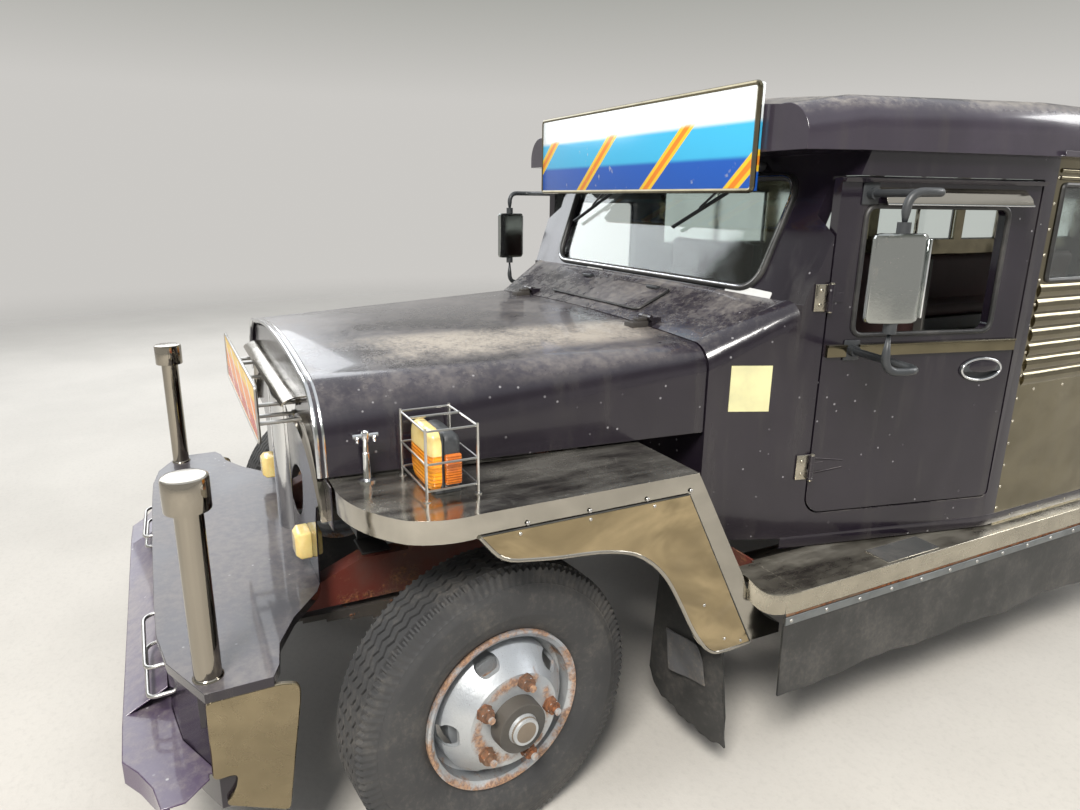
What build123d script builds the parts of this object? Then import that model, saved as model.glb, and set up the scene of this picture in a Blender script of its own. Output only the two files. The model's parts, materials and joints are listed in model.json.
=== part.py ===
from build123d import *
import math
import os

# Long-nosed jeepney, a passenger jeep bus, in millimetres.
# Modelled with X across (plus is its left side), Y back from the front axle, Z up from the ground.
# The finished pieces are moved along Y so that the origin is below the middle of the whole length.

# Driving dimensions of the whole
WHEELBASE = 3700.0
NOSE_Y = -330.0              # front plate of the nose
HOOD_REAR_Y = 725.0          # hood's rear edge at the cab front
DOOR_FRONT_Y = 1040.0
DOOR_REAR_Y = 1704.0
BODY_REAR_Y = 5690.0
FRONT_END_Y = -825.0         # front edge of the lower apron
STEP_REAR_Y = 5865.0
FLOOR_TOP = 665.0
FLOOR_THICK = 35.0
BODY_TOP = 1765.0            # where the roof sits on the walls
ROOF_RISE = 190.0            # the roof's height above the walls
WALL = 36.0                  # whole thickness of body walls and doors
GAP = 6.0                    # running gap round doors and hood

# Wheels, 7.00-16 tyres on 5.5 inch disc wheels
TYRE_R = 388.0
TYRE_HALF = 98.0
TREAD_HALF = 76.0
FLANGE_R = 216.0
BEAD_R = 203.0
WELL_R = 184.0
RIM_HALF = 83.0
RIM_SHEET = 6.0
DISC_OFFSET = 115.0          # from the rim's middle plane to the disc's seat
DISC_SHEET = 7.0
STUD_CIRCLE = 208.0
STUD_R = 9.0
STUD_COUNT = 5
HAND_HOLE_R = 160.0
HUB_BORE_R = 68.0
NUT_R = 19.0
NUT_HIGH = 22.0
WHEEL_Z = 388.0              # hub height in this drawing; the whole is raised or lowered onto its tyres
FRONT_WHEEL_X = 815.0        # middle plane of a front wheel
TWIN_MID_X = 738.0           # where the discs of the rear twin wheels meet
KINGPIN_X = 640.0
PARK_STEER = 6.7             # degrees, wheels left turned as parked
PARK_ROLL = 16.0             # degrees from a stud straight up, front wheels as parked
PIN_R = 14.0
PIN_PLAY = 0.05
SPINDLE_R = 26.0

# Chassis
RAIL_X = 400.0
RAIL_LOW = 500.0
RAIL_TOP = 630.0
RAIL_FLANGE = 60.0
RAIL_SHEET = 6.0
RAIL_FRONT_Y = -600.0
RAIL_REAR_Y = 5600.0

# Front fenders
FENDER_TOP = 977.0
FENDER_X = 985.0
FENDER_BAND = 55.0
FENDER_SHEET = 4.0
FENDER_REAR_Y = 515.0

# Bumper
SHELF_TOP = 610.0
SHELF_HEM = 24.0
SHELF_SHEET = 4.0
POST_X = 765.0
POST_Y = -628.0
POST_R = 29.0
POST_TOP = 1079.0

# Running boards
BOARD_SHEET = 4.0
BOARD_X = 1050.0
BOARD_TOP = 600.0
BOARD_BAND = 60.0
BOARD_INNER_X = 850.0
BOARD_FRONT_Y = 780.0
BOARD_REAR_Y = 3180.0
MAT = (955.0, 1038.0, 1210.0, 1440.0, 3.0)    # ribbed step mat on the board: x, x, y, y and thickness

REAR_AXLE_Y = WHEELBASE
ROOF_TOP = BODY_TOP + ROOF_RISE
LENGTH_MID_Y = (FRONT_END_Y + STEP_REAR_Y) / 2


def block(x0, x1, y0, y1, z0, z1):
    """A box between two corners."""
    return Pos((x0 + x1) / 2, (y0 + y1) / 2, (z0 + z1) / 2) * Box(x1 - x0, y1 - y0, z1 - z0)


def rod(start, end, radius):
    """A round bar from one point to another."""
    way = Vector(*end) - Vector(*start)
    return extrude(Plane(origin=start, z_dir=way) * Circle(radius), way.length)


def contour(place, start, steps):
    """A flat face: from start by lines to points, or by arcs where a step is a pair (through, end)."""
    edges = []
    here = start
    for step in steps + [start]:
        if isinstance(step[0], tuple):
            edges.append(ThreePointArc(place(*here), place(*step[0]), place(*step[1])))
            here = step[1]
        elif step != here:
            edges.append(Line(place(*here), place(*step)))
            here = step
    return make_face(Wire(edges))


def on_front(y):
    """Places (x, z) points in the upright plane across the vehicle at y."""
    return lambda x, z: (x, y, z)


def on_side(x):
    """Places (y, z) points in the upright plane along the vehicle at x."""
    return lambda y, z: (x, y, z)


def on_level(z):
    """Places (x, y) points in the level plane at z."""
    return lambda x, y: (x, y, z)


def side_plate(points, x0, x1):
    """A plate cut to an outline of (y, z) points, from x0 to x1."""
    face = make_face(Polyline(*[(x0, y, z) for y, z in points], close=True))
    return extrude(face, x1 - x0, dir=(1, 0, 0))


def level_plate(points, z0, z1):
    """A plate cut to an outline of (x, y) points, from z0 to z1."""
    face = make_face(Polyline(*[(x, y, z0) for x, y in points], close=True))
    return extrude(face, z1 - z0, dir=(0, 0, 1))


def front_plate(points, y0, y1):
    """A plate cut to an outline of (x, z) points, from y0 to y1."""
    face = make_face(Polyline(*[(x, y0, z) for x, z in points], close=True))
    return extrude(face, y1 - y0, dir=(0, 1, 0))


def both_sides(shape):
    """A piece and its mirror image across the vehicle's middle."""
    return [shape, mirror(shape, Plane.YZ)]


def fused(pieces):
    """One shape from pieces that share faces or overlap."""
    whole = pieces[0]
    for piece in pieces[1:]:
        whole = whole + piece
    return whole


NODES = {}


def node(name, pieces):
    """Keeps the solids of one node."""
    if not isinstance(pieces, (list, tuple)):
        pieces = [pieces]
    NODES[name] = [solid for piece in pieces for solid in piece.solids()]


# Wheels
def rim(disc_side):
    """A disc wheel about the X axis with its middle plane at x = 0, the disc's seat on +X if disc_side is 1."""
    outer = [
        (-RIM_HALF, FLANGE_R), (-RIM_HALF + 13, FLANGE_R), (-RIM_HALF + 16, BEAD_R), (-38, BEAD_R - 3),
        (-30, WELL_R), (30, WELL_R), (38, BEAD_R - 3), (RIM_HALF - 16, BEAD_R), (RIM_HALF - 13, FLANGE_R),
        (RIM_HALF, FLANGE_R), (RIM_HALF, FLANGE_R - 7), (RIM_HALF - 9, BEAD_R - RIM_SHEET),
        (36, BEAD_R - 3 - RIM_SHEET), (28, WELL_R - RIM_SHEET), (-28, WELL_R - RIM_SHEET),
        (-36, BEAD_R - 3 - RIM_SHEET), (-RIM_HALF + 9, BEAD_R - RIM_SHEET), (-RIM_HALF, FLANGE_R - 7)]
    hoop = revolve(make_face(Polyline(*[(x, 0, r) for x, r in outer], close=True)), Axis.X)
    front = DISC_OFFSET + DISC_SHEET
    disc_line = [
        (8, WELL_R - RIM_SHEET), (40, WELL_R - RIM_SHEET), (66, WELL_R - RIM_SHEET - 3), (front - 18, 142),
        (front, 124), (front, HUB_BORE_R), (DISC_OFFSET, HUB_BORE_R), (DISC_OFFSET, 124), (front - 26, 138),
        (60, WELL_R - RIM_SHEET - 11), (36, WELL_R - RIM_SHEET - 9), (8, WELL_R - RIM_SHEET - 9)]
    disc = revolve(make_face(Polyline(*[(x, 0, r) for x, r in disc_line], close=True)), Axis.X)
    for index in range(STUD_COUNT):
        turn = 360 / STUD_COUNT * index
        hole = Rot(turn + 36, 0, 0) * Pos(60, 0, HAND_HOLE_R) * Rot(0, 90, 0)
        disc = disc - hole * extrude(SlotOverall(62, 34, rotation=90), 80, both=True)
    wheel = hoop + disc
    if disc_side < 0:
        wheel = mirror(wheel, Plane.YZ)
    return wheel


def tyre():
    """A tyre about the X axis: flat tread, rounded shoulders and bulged side walls."""
    shoulder = (TREAD_HALF, TYRE_R - 7)
    wall_top = (TREAD_HALF + 10, TYRE_R - 40)
    widest = (TYRE_R + FLANGE_R) / 2 - 2
    cord_low = BEAD_R + 47
    cord_top = TYRE_R - 22
    wall_low = (RIM_HALF + 2, FLANGE_R + 20)
    flange = (RIM_HALF - 13.3, FLANGE_R + 0.4)
    bead = (RIM_HALF - 16.3, BEAD_R + 0.3)
    toe = (42, BEAD_R + 0.3)
    right = [(TREAD_HALF - 14, TYRE_R - 1), shoulder, wall_top, ((TYRE_HALF, widest), wall_low), flange, bead, toe,
             (58, cord_low), ((80, widest + 8), (58, cord_top)), (40, cord_top + 6)]
    left = [(-40, cord_top + 6), (-58, cord_top), ((-80, widest + 8), (-58, cord_low)), (-toe[0], toe[1]),
            (-bead[0], bead[1]), (-flange[0], flange[1]), (-wall_low[0], wall_low[1]),
            ((-TYRE_HALF, widest), (-wall_top[0], wall_top[1])), (-shoulder[0], shoulder[1]),
            (-TREAD_HALF + 14, TYRE_R - 1)]
    profile = contour(lambda x, r: (x, 0, r), (0, TYRE_R), right + left)
    return revolve(profile, Axis.X)


def hub(length_in, length_out, drum_r):
    """Hub with its brake drum, round the X axis, the disc's seat at x = 0 and the vehicle's middle on -X."""
    line = [
        (-length_in, SPINDLE_R + PIN_PLAY), (-length_in, drum_r), (-length_in + 60, drum_r),
        (-length_in + 66, 95), (-14, 95), (-14, 128), (0, 128), (0, HUB_BORE_R - 0.5),
        (length_out - 22, HUB_BORE_R - 4), (length_out - 18, 40), (length_out, 34), (length_out, 0),
        (length_out - 10, 0), (length_out - 10, 28),
        (10, 28), (10, SPINDLE_R + PIN_PLAY)]
    body = revolve(make_face(Polyline(*[(x, 0, r) for x, r in line], close=True)), Axis.X)
    return body


def stud_ring(seat, length):
    """Studs with their nuts on the stud circle, from x = seat outwards."""
    studs = []
    for index in range(STUD_COUNT):
        turn = 360 / STUD_COUNT * index
        nut = Pos(seat, 0, STUD_CIRCLE / 2) * Rot(0, 90, 0) * extrude(RegularPolygon(NUT_R, 6), NUT_HIGH)
        stud = Pos(seat, 0, STUD_CIRCLE / 2) * Rot(0, 90, 0) * extrude(Circle(STUD_R), length)
        studs.append(Rot(turn, 0, 0) * (nut + stud))
    return studs


def place_front(shape):
    """Puts a piece made for the left wheel, with the kingpin at x = 0, at its parked steering angle."""
    left = Pos(KINGPIN_X, 0, WHEEL_Z) * Rot(0, 0, PARK_STEER) * shape
    right = Pos(-KINGPIN_X, 0, WHEEL_Z) * Rot(0, 0, PARK_STEER) * mirror(shape, Plane.YZ)
    return left, right


wheel_off = FRONT_WHEEL_X - KINGPIN_X
front_hub = Pos(DISC_OFFSET, 0, 0) * hub(118, 62, 150)
front_rim = Rot(-PARK_ROLL, 0, 0) * fused([rim(1), front_hub] + stud_ring(DISC_OFFSET + DISC_SHEET, 40))
for name, shape in (("front_rim", Pos(wheel_off, 0, 0) * front_rim), ("front_tyre", Pos(wheel_off, 0, 0) * tyre())):
    left, right = place_front(shape)
    node(name + "_left", left)
    node(name + "_right", right)

TWIN_HALF = DISC_OFFSET + DISC_SHEET
outer_twin = Pos(TWIN_HALF, 0, 0) * rim(-1)
inner_twin = Pos(-TWIN_HALF, 0, 0) * rim(1)
rear_hub = Pos(-DISC_SHEET, 0, 0) * hub(150, 110, 165)
rear_rims = fused([outer_twin, inner_twin, rear_hub] + stud_ring(DISC_SHEET, 34))
rear_tyres = [Pos(TWIN_HALF, 0, 0) * tyre(), Pos(-TWIN_HALF, 0, 0) * tyre()]
at_rear = Pos(TWIN_MID_X, REAR_AXLE_Y, WHEEL_Z)
node("rear_rims_left", at_rear * rear_rims)
node("rear_rims_right", mirror(at_rear * rear_rims, Plane.YZ))
node("rear_tyres_left", [at_rear * piece for piece in rear_tyres])
node("rear_tyres_right", [mirror(at_rear * piece, Plane.YZ) for piece in rear_tyres])

# Front axle, knuckles and tie rod
EYE_HALF = 42.0              # half height of the axle's kingpin eye
FORK_THICK = 26.0
ARM_Y = 150.0                # steering arm's ball pin behind the kingpin
BALL_PIN_R = 9.0
fork_gap = EYE_HALF + 1.0
pin_end = fork_gap + FORK_THICK + 8
bolster = fused([
    block(-KINGPIN_X + 30, KINGPIN_X - 30, -32, 32, WHEEL_Z - 38, WHEEL_Z - 26),
    block(-KINGPIN_X + 30, KINGPIN_X - 30, -32, 32, WHEEL_Z + 22, WHEEL_Z + 34),
    block(-KINGPIN_X + 30, KINGPIN_X - 30, -8, 8, WHEEL_Z - 30, WHEEL_Z + 30)])
eyes = [Pos(side * KINGPIN_X, 0, WHEEL_Z) * Cylinder(36, 2 * EYE_HALF) for side in (-1, 1)]
pins = [Pos(side * KINGPIN_X, 0, WHEEL_Z) * Cylinder(PIN_R, 2 * pin_end) for side in (-1, 1)]
pads = [block(side * 360 - 42, side * 360 + 42, -60, 60, WHEEL_Z + 30, WHEEL_Z + 42) for side in (-1, 1)]
node("front_axle_beam", fused([bolster] + eyes + pins + pads))

fork = fused([
    Pos(0, 0, fork_gap + FORK_THICK / 2) * Cylinder(38, FORK_THICK),
    Pos(0, 0, -fork_gap - FORK_THICK / 2) * Cylinder(38, FORK_THICK),
    block(0, 70, -38, 38, fork_gap, fork_gap + FORK_THICK),
    block(0, 70, -38, 38, -fork_gap - FORK_THICK, -fork_gap),
    block(44, 70, -38, 38, -fork_gap - FORK_THICK, fork_gap + FORK_THICK)])
spindle = Pos(70 + 90, 0, 0) * Rot(0, 90, 0) * Cylinder(SPINDLE_R, 180)
arm = level_plate([(-22, 30), (22, 30), (16, ARM_Y + 16), (-16, ARM_Y + 16)], -fork_gap - FORK_THICK,
                  -fork_gap - 8)
ball_pin = Pos(0, ARM_Y, -fork_gap - FORK_THICK - 28) * Cylinder(BALL_PIN_R, 60)
knuckle = fused([fork, spindle, arm, ball_pin]) - Cylinder(PIN_R + PIN_PLAY, 2 * pin_end + 20)
left, right = place_front(knuckle)
node("knuckle_left", left)
node("knuckle_right", right)

# Rear axle
TUBE_END_X = TWIN_MID_X - 166
axle_tube = rod((-TUBE_END_X, REAR_AXLE_Y, WHEEL_Z), (TUBE_END_X, REAR_AXLE_Y, WHEEL_Z), 48)
spindles = rod((-TWIN_MID_X - 60, REAR_AXLE_Y, WHEEL_Z), (TWIN_MID_X + 60, REAR_AXLE_Y, WHEEL_Z), SPINDLE_R)
bowl = Pos(0, REAR_AXLE_Y, WHEEL_Z) * (Sphere(150) & Box(190, 300, 300))
snout = rod((0, REAR_AXLE_Y - 230, WHEEL_Z), (0, REAR_AXLE_Y, WHEEL_Z), 62)
node("rear_axle", fused([axle_tube, spindles, bowl, snout]))

# Chassis
HORN_TOP = 580.0             # the rails' front ends are lower, under the bumper shelf
HORN_Y = (-320.0, -200.0)    # between these the top flange climbs


def rail(side):
    """One rail: an upright web with a flange along its bottom and its stepped top, open to the middle."""
    top_line = [(RAIL_FRONT_Y, HORN_TOP), (HORN_Y[0], HORN_TOP), (HORN_Y[1], RAIL_TOP), (RAIL_REAR_Y, RAIL_TOP)]
    under_line = [(RAIL_REAR_Y, RAIL_TOP - RAIL_SHEET), (HORN_Y[1] + 1, RAIL_TOP - RAIL_SHEET),
                  (HORN_Y[0] + 1, HORN_TOP - RAIL_SHEET), (RAIL_FRONT_Y, HORN_TOP - RAIL_SHEET)]
    web = side_plate(top_line + [(RAIL_REAR_Y, RAIL_LOW), (RAIL_FRONT_Y, RAIL_LOW)], RAIL_X - RAIL_SHEET, RAIL_X)
    top = side_plate(top_line + under_line, RAIL_X - RAIL_FLANGE, RAIL_X)
    low = block(RAIL_X - RAIL_FLANGE, RAIL_X, RAIL_FRONT_Y, RAIL_REAR_Y, RAIL_LOW, RAIL_LOW + RAIL_SHEET)
    whole = fused([web, top, low])
    return whole if side > 0 else mirror(whole, Plane.YZ)


# Cross members: y, low and top
CROSS_MEMBERS = ((-470, 512, HORN_TOP - RAIL_SHEET), (1180, 558, 624), (1700, 558, 624), (2300, 558, 624),
                 (3050, 558, 624), (4350, 558, 624), (5000, 558, 624), (5540, 558, 624))
web_in = RAIL_X - RAIL_SHEET
crosses = []
for y, low, top in CROSS_MEMBERS:
    crosses += [block(-web_in, web_in, y, y + 6, low, top), block(-web_in, web_in, y, y + 50, low, low + 6),
                block(-web_in, web_in, y, y + 50, top - 6, top)]
OUTRIGGER_Y = (860, 1500, 2300, 3020)
OUTRIGGER_TOP = BOARD_TOP - 4
outriggers = []
for y in OUTRIGGER_Y:
    bracket = front_plate([(RAIL_X, 505), (985, 556), (985, OUTRIGGER_TOP), (RAIL_X, OUTRIGGER_TOP)], y, y + 6)
    outriggers += both_sides(bracket)
BRACKET_Y = (-60, 340)        # straps that carry the front fenders
BAND_LOW = FENDER_TOP - FENDER_BAND
fender_brackets = []
for y in BRACKET_Y:
    strap = front_plate([(360, RAIL_TOP), (RAIL_X, RAIL_TOP), (430, 876), (470, 903), (740, BAND_LOW - 8),
                         (740, BAND_LOW), (640, BAND_LOW), (464, 911), (418, 882)], y, y + 40)
    fender_brackets += both_sides(strap)
node("chassis_frame", fused([rail(1), rail(-1)] + crosses + outriggers + fender_brackets))

# Springs
LEAF_THICK = 9.0


def leaf_pack(x, y_mid, half, z_low, count, hanger):
    """A stack of leaves, longest on top, with eyes in hangers that span (x0, x1, z_top)."""
    camber = 12
    pieces = []
    for index in range(count):
        reach = half * (1 - 0.6 * index / (count - 1))
        top = z_low + (count - index) * LEAF_THICK
        lift = camber * (reach / half) ** 2
        upper = ThreePointArc((x, y_mid - reach, top + lift), (x, y_mid, top), (x, y_mid + reach, top + lift))
        lower = ThreePointArc((x, y_mid + reach, top - LEAF_THICK + lift), (x, y_mid, top - LEAF_THICK),
                              (x, y_mid - reach, top - LEAF_THICK + lift))
        face = make_face(Wire([upper, Line(upper @ 1, lower @ 0), lower, Line(lower @ 1, upper @ 0)]))
        pieces.append(extrude(face, 30, dir=(1, 0, 0), both=True))
    eye_z = z_low + (count - 0.5) * LEAF_THICK + camber
    x0, x1, z_top = hanger
    for side in (-1, 1):
        y_eye = y_mid + side * half
        pieces.append(rod((x - 34, y_eye, eye_z), (x + 34, y_eye, eye_z), 15))
        pieces.append(block(x0, x1, y_eye - 10, y_eye + 10, eye_z, z_top))
    pieces.append(block(x - 42, x + 42, y_mid - 55, y_mid + 55, z_low + count * LEAF_THICK - 1,
                        z_low + count * LEAF_THICK + 9))
    return fused(pieces)


springs = both_sides(leaf_pack(370, 0, 440, WHEEL_Z + 42, 5, (340, 400, RAIL_LOW)))
springs += both_sides(leaf_pack(450, REAR_AXLE_Y, 620, WHEEL_Z + 48, 7, (RAIL_X, 484, RAIL_LOW + 50)))
node("leaf_springs", springs)

# Engine, gearbox, shaft, radiator, tank and exhaust
ENGINE = (-250, 250, -60, 600, 470, 940)
engine_arms = both_sides(block(240, 396, 230, 300, RAIL_TOP, RAIL_TOP + 30))
node("engine_block", fused([block(*ENGINE)] + engine_arms))

GEARBOX_Z = 545
SHAFT_FRONT = (0, 1130, 520)
SHAFT_REAR = (0, REAR_AXLE_Y - 232.5, WHEEL_Z)
box_front = Pos(0, 600, GEARBOX_Z) * Rot(-90, 0, 0) * extrude(RectangleRounded(230, 150, 30), 60)
gearbox = loft([Plane.XZ.offset(-660) * Pos(0, GEARBOX_Z) * Circle(95),
                Plane.XZ.offset(-1130) * Pos(0, 520) * Circle(50)], ruled=True)
shaft = rod(SHAFT_FRONT, SHAFT_REAR, 37)
node("drive_line", fused([box_front, gearbox, shaft]))

radiator_core = block(-290, 290, -185, -120, RAIL_TOP + 8, 930)
radiator_feet = both_sides(block(280, 385, -195, -110, RAIL_TOP, RAIL_TOP + 8))
node("radiator", fused([radiator_core] + radiator_feet))

tank = Pos(-640, 1900, 450) * Rot(90, 0, 0) * extrude(RectangleRounded(400, 240, 40), 300, both=True)
tank_straps = [block(-830, -RAIL_X, y, y + 30, 570, 600) for y in (1660, 2110)]
muffler = Pos(560, 2640, 410) * Rot(90, 0, 0) * Cylinder(80, 560)
PIPE_R = 26
pipes = [rod((180, 600, 500), (180, 700, 500), PIPE_R), Pos(180, 700, 500) * Sphere(PIPE_R),
         rod((180, 700, 500), (560, 1000, 410), PIPE_R), Pos(560, 1000, 410) * Sphere(PIPE_R),
         rod((560, 1000, 410), (560, 3080, 410), PIPE_R)]
tank_and_exhaust = [fused([tank] + tank_straps), fused([muffler] + pipes)]
node("tank_and_exhaust", tank_and_exhaust)

# Bumper
SHELF = [(0, -735), (388, -733), (544, -729), (678, -709), (830, -640), (830, -500), (788, -482), (703, -469),
         (601, -420), (496, -343), (447, -325), (0, -325)]


def mirrored(points):
    """Closes a half outline that starts and ends on the middle line by its mirror image."""
    return points + [(-x, y) for x, y in reversed(points) if x != 0]


def inset_face(points, inset, z):
    """The level face of an outline, moved inwards by inset."""
    face = make_face(Polyline(*[(x, y) for x, y in points], close=True))
    if inset:
        face = offset(face, -inset, kind=Kind.INTERSECTION)
    return Pos(0, 0, z) * face


shelf_points = mirrored(SHELF)
shelf = extrude(inset_face(shelf_points, 0, SHELF_TOP - SHELF_HEM), SHELF_HEM)
shelf = shelf - extrude(inset_face(shelf_points, SHELF_SHEET, SHELF_TOP - SHELF_HEM), SHELF_HEM - SHELF_SHEET)
FACE_LOW = 300
front_wall = extrude(inset_face(shelf_points, 14, FACE_LOW), SHELF_TOP - SHELF_SHEET - FACE_LOW)
front_wall = front_wall - extrude(inset_face(shelf_points, 18, FACE_LOW), SHELF_TOP - SHELF_SHEET - FACE_LOW)
front_wall = front_wall & block(-1000, 1000, -800, -520, 0, 800)
cross_beam = block(-790, 790, -655, RAIL_FRONT_Y, 500, 584) - block(-786, 786, -651, RAIL_FRONT_Y - 4, 504, 580)
beam_posts = both_sides(block(600, 660, -650, -606, 584, SHELF_TOP - SHELF_SHEET))
node("bumper_shelf", fused([shelf, front_wall, cross_beam] + beam_posts))

side_steel = side_plate([(-640, 584), (-484, 584), (-458, 578), (-446, 556), (-490, 248), (-626, 318),
                         (-599, 350), (-592, 389), (-644, 389)], 816, 830)
post = Pos(POST_X, POST_Y, SHELF_TOP) * extrude(Circle(POST_R), POST_TOP - 75 - SHELF_TOP)
cap = Pos(POST_X, POST_Y, POST_TOP - 75) * extrude(Circle(47), 75)
cap = chamfer(cap.edges().filter_by(GeomType.CIRCLE).sort_by(Axis.Z)[-1], 6)
node("bumper_steel", both_sides(side_steel) + both_sides(post + cap))

APRON_TOP = 400
APRON_SHEET = 5
APRON = [(0, -825), (560, -825), (690, -822), (741, -790), (805, -761), (878, -746), (878, -700), (820, -640),
         (810, -626), (676, -690), (545, -711), (388, -715), (0, -717)]
wing = extrude(inset_face(mirrored(APRON), 0, APRON_TOP - APRON_SHEET), APRON_SHEET)
lip = extrude(inset_face(mirrored(APRON), 0, APRON_TOP - 60), 60)
lip = lip - extrude(inset_face(mirrored(APRON), APRON_SHEET, APRON_TOP - 60), 60)
lip = lip & block(-1000, 1000, -835, -730, 0, 800)
ramp = side_plate([(-822, APRON_TOP - 2), (-720, APRON_TOP + 52), (-720, APRON_TOP + 47), (-813, APRON_TOP - 2)],
                  -520, 520)
wall_prism = extrude(inset_face(shelf_points, 14, 0), 900)
apron = fused([wing, lip, ramp]) - wall_prism
for slot in both_sides(block(812, 834, -650, -560, 0, 800)):
    apron = apron - slot
node("bumper_apron", apron)

LOOPS = ((270, 535, 525), (320, 570, 466))
LOOP_OUT = 50
LOOP_R = 5
loops = []
for x0, x1, z in LOOPS:
    path = FilletPolyline((x0, -710, z), (x0, -721 - LOOP_OUT, z), (x1, -721 - LOOP_OUT + 8, z), (x1, -700, z),
                          radius=22)
    loop = sweep(Plane(origin=path @ 0, z_dir=path % 0) * Circle(LOOP_R), path=path) - wall_prism
    loops += both_sides(loop)
node("bumper_loops", loops)

# Hood and cab front
HOOD_SHEET = 14.0
HOOD_FRONT_Y = -340.0
HOOD_LOW = FENDER_TOP + GAP


def arch(y, low, side, shoulder, crown, top, inset):
    """A closed section across the nose: upright sides, round shoulders and a flat crowned top.

    low and side are (x, z) of the side line, shoulder the point that the corner arc goes through,
    crown where the crown's arc starts, top the height at the middle. inset moves it all inwards."""
    x_low, z_low = low[0] - inset, low[1]
    x_side, z_side = side[0] - inset, side[1]
    x_mid, z_mid = shoulder[0] - 0.8 * inset, shoulder[1] - 0.6 * inset
    x_top, z_top = crown[0] - 0.2 * inset, crown[1] - inset
    steps = [(x_side, z_side), ((x_mid, z_mid), (x_top, z_top)), ((0, top - inset), (-x_top, z_top)),
             ((-x_mid, z_mid), (-x_side, z_side)), (-x_low, z_low)]
    return contour(on_front(y), (x_low, z_low), steps)


def front_arch(y, low_z, inset):
    """The hood's front section."""
    return arch(y, (650, low_z), (641, 1075), (598, 1150), (470, 1200), 1236, inset)


def rear_arch(y, low_z, inset):
    """The section where the hood meets the cab front."""
    return arch(y, (738, low_z), (736, 1150), (718, 1212), (655, 1238), 1256, inset)


hood_outer = loft([front_arch(HOOD_FRONT_Y, HOOD_LOW, 0), rear_arch(HOOD_REAR_Y, HOOD_LOW, 0)], ruled=True)
hood_inner = loft([front_arch(HOOD_FRONT_Y - 0.01, HOOD_LOW - 1, HOOD_SHEET),
                   rear_arch(HOOD_REAR_Y + 0.01, HOOD_LOW - 1, HOOD_SHEET)], ruled=True)
HOOD_PIN_Y = HOOD_REAR_Y + 3
HOOD_PIN_Z = 1275
HOOD_HINGE_X = (-420.0, 420.0)
HOOD_BARREL_R = 7.0
HOOD_BARREL_HALF = 14.0
HOOD_EAR = 16.0              # length of each cowl knuckle beside the hood's barrel
HINGE_PLAY = 0.3             # end gap between a hinge's knuckles
HINGE_WIRE_R = 3.5
hood = hood_outer - hood_inner
MOUTH_BEADS = ((-348.0, -338.0), (-330.0, -322.0))    # y of the two raised beads round the hood's mouth
BEAD_PROUD = 4.0
for y0, y1 in MOUTH_BEADS:
    bead_out = extrude(front_arch(y0, HOOD_LOW, -BEAD_PROUD), y1 - y0, dir=(0, 1, 0))
    bead_in = extrude(front_arch(y0 - 1, HOOD_LOW - 1, HOOD_SHEET), y1 - y0 + 2, dir=(0, 1, 0))
    hood = hood + (bead_out - bead_in)
for x in HOOD_HINGE_X:
    x0, x1 = x - HOOD_BARREL_HALF, x + HOOD_BARREL_HALF
    strap = block(x - 25, x + 25, HOOD_REAR_Y - 60, HOOD_REAR_Y - 4, 1236, 1262)
    barrel = rod((x0, HOOD_PIN_Y, HOOD_PIN_Z), (x1, HOOD_PIN_Y, HOOD_PIN_Z), HOOD_BARREL_R)
    link = block(x0, x1, HOOD_REAR_Y - 40, HOOD_PIN_Y, 1262, HOOD_PIN_Z - 1)
    bore = rod((x0 - 1, HOOD_PIN_Y, HOOD_PIN_Z), (x1 + 1, HOOD_PIN_Y, HOOD_PIN_Z), HINGE_WIRE_R + PIN_PLAY)
    hood = hood + (strap - hood_inner) + link + barrel - bore
node("hood", hood)

# Nose panel, lamps and sign
PANEL_SHEET = 4.0
panel_arch = extrude(front_arch(NOSE_Y, SHELF_TOP, HOOD_SHEET + GAP), PANEL_SHEET, dir=(0, 1, 0))
panel_low = front_plate([(0, SHELF_TOP), (455, SHELF_TOP), (468, 800), (486, 845), (530, 866), (700, 868),
                         (700, FENDER_TOP), (-700, FENDER_TOP), (-700, 868), (-530, 866), (-486, 845), (-468, 800),
                         (-455, SHELF_TOP)], NOSE_Y, NOSE_Y + PANEL_SHEET)
panel_keep = panel_arch & block(-700, 700, NOSE_Y - 1, NOSE_Y + 10, FENDER_TOP, 1300)
panel = panel_low + panel_keep
UPPER_EYE = [(40, 1015), ((150, 1105), (290, 1108)), ((240, 1040), (40, 1015))]
LOWER_EYE = [(50, 720), ((150, 850), (290, 870)), ((260, 760), (50, 720))]
for eye in (UPPER_EYE, LOWER_EYE):
    cut = extrude(contour(on_front(NOSE_Y - 5), eye[0], eye[1:]), 20, dir=(0, 1, 0))
    for side in both_sides(cut):
        panel = panel - side
node("nose_panel", panel)

trim_post = block(-70, 70, NOSE_Y - 40, NOSE_Y, SHELF_TOP, 1110)
visor = front_plate([(-430, 1112), (430, 1112), (430, 1132), (-430, 1132)], NOSE_Y - 60, NOSE_Y)
reveal = contour(on_front(NOSE_Y - 16), (310, 1010), [((430, 1045), (560, 1020)), (600, 985),
                                                     ((470, 955), (310, 1010))])
reveals = both_sides(extrude(reveal, 16, dir=(0, 1, 0)))
node("nose_trim", [fused([trim_post, visor])] + reveals)

SIGN = (-420, 420, -447, -435, 1015, 1165)
SIGN_RODS = ((320, 1090), (390, 1060), (250, 1040))
sign = block(*SIGN)
for x, z in SIGN_RODS:
    for side in (-1, 1):
        sign = sign + rod((side * x, SIGN[3], z), (side * x, NOSE_Y, z), 6)
node("nose_sign", sign)

LAMP_X = 346
LAMP = (76, 78)


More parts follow.
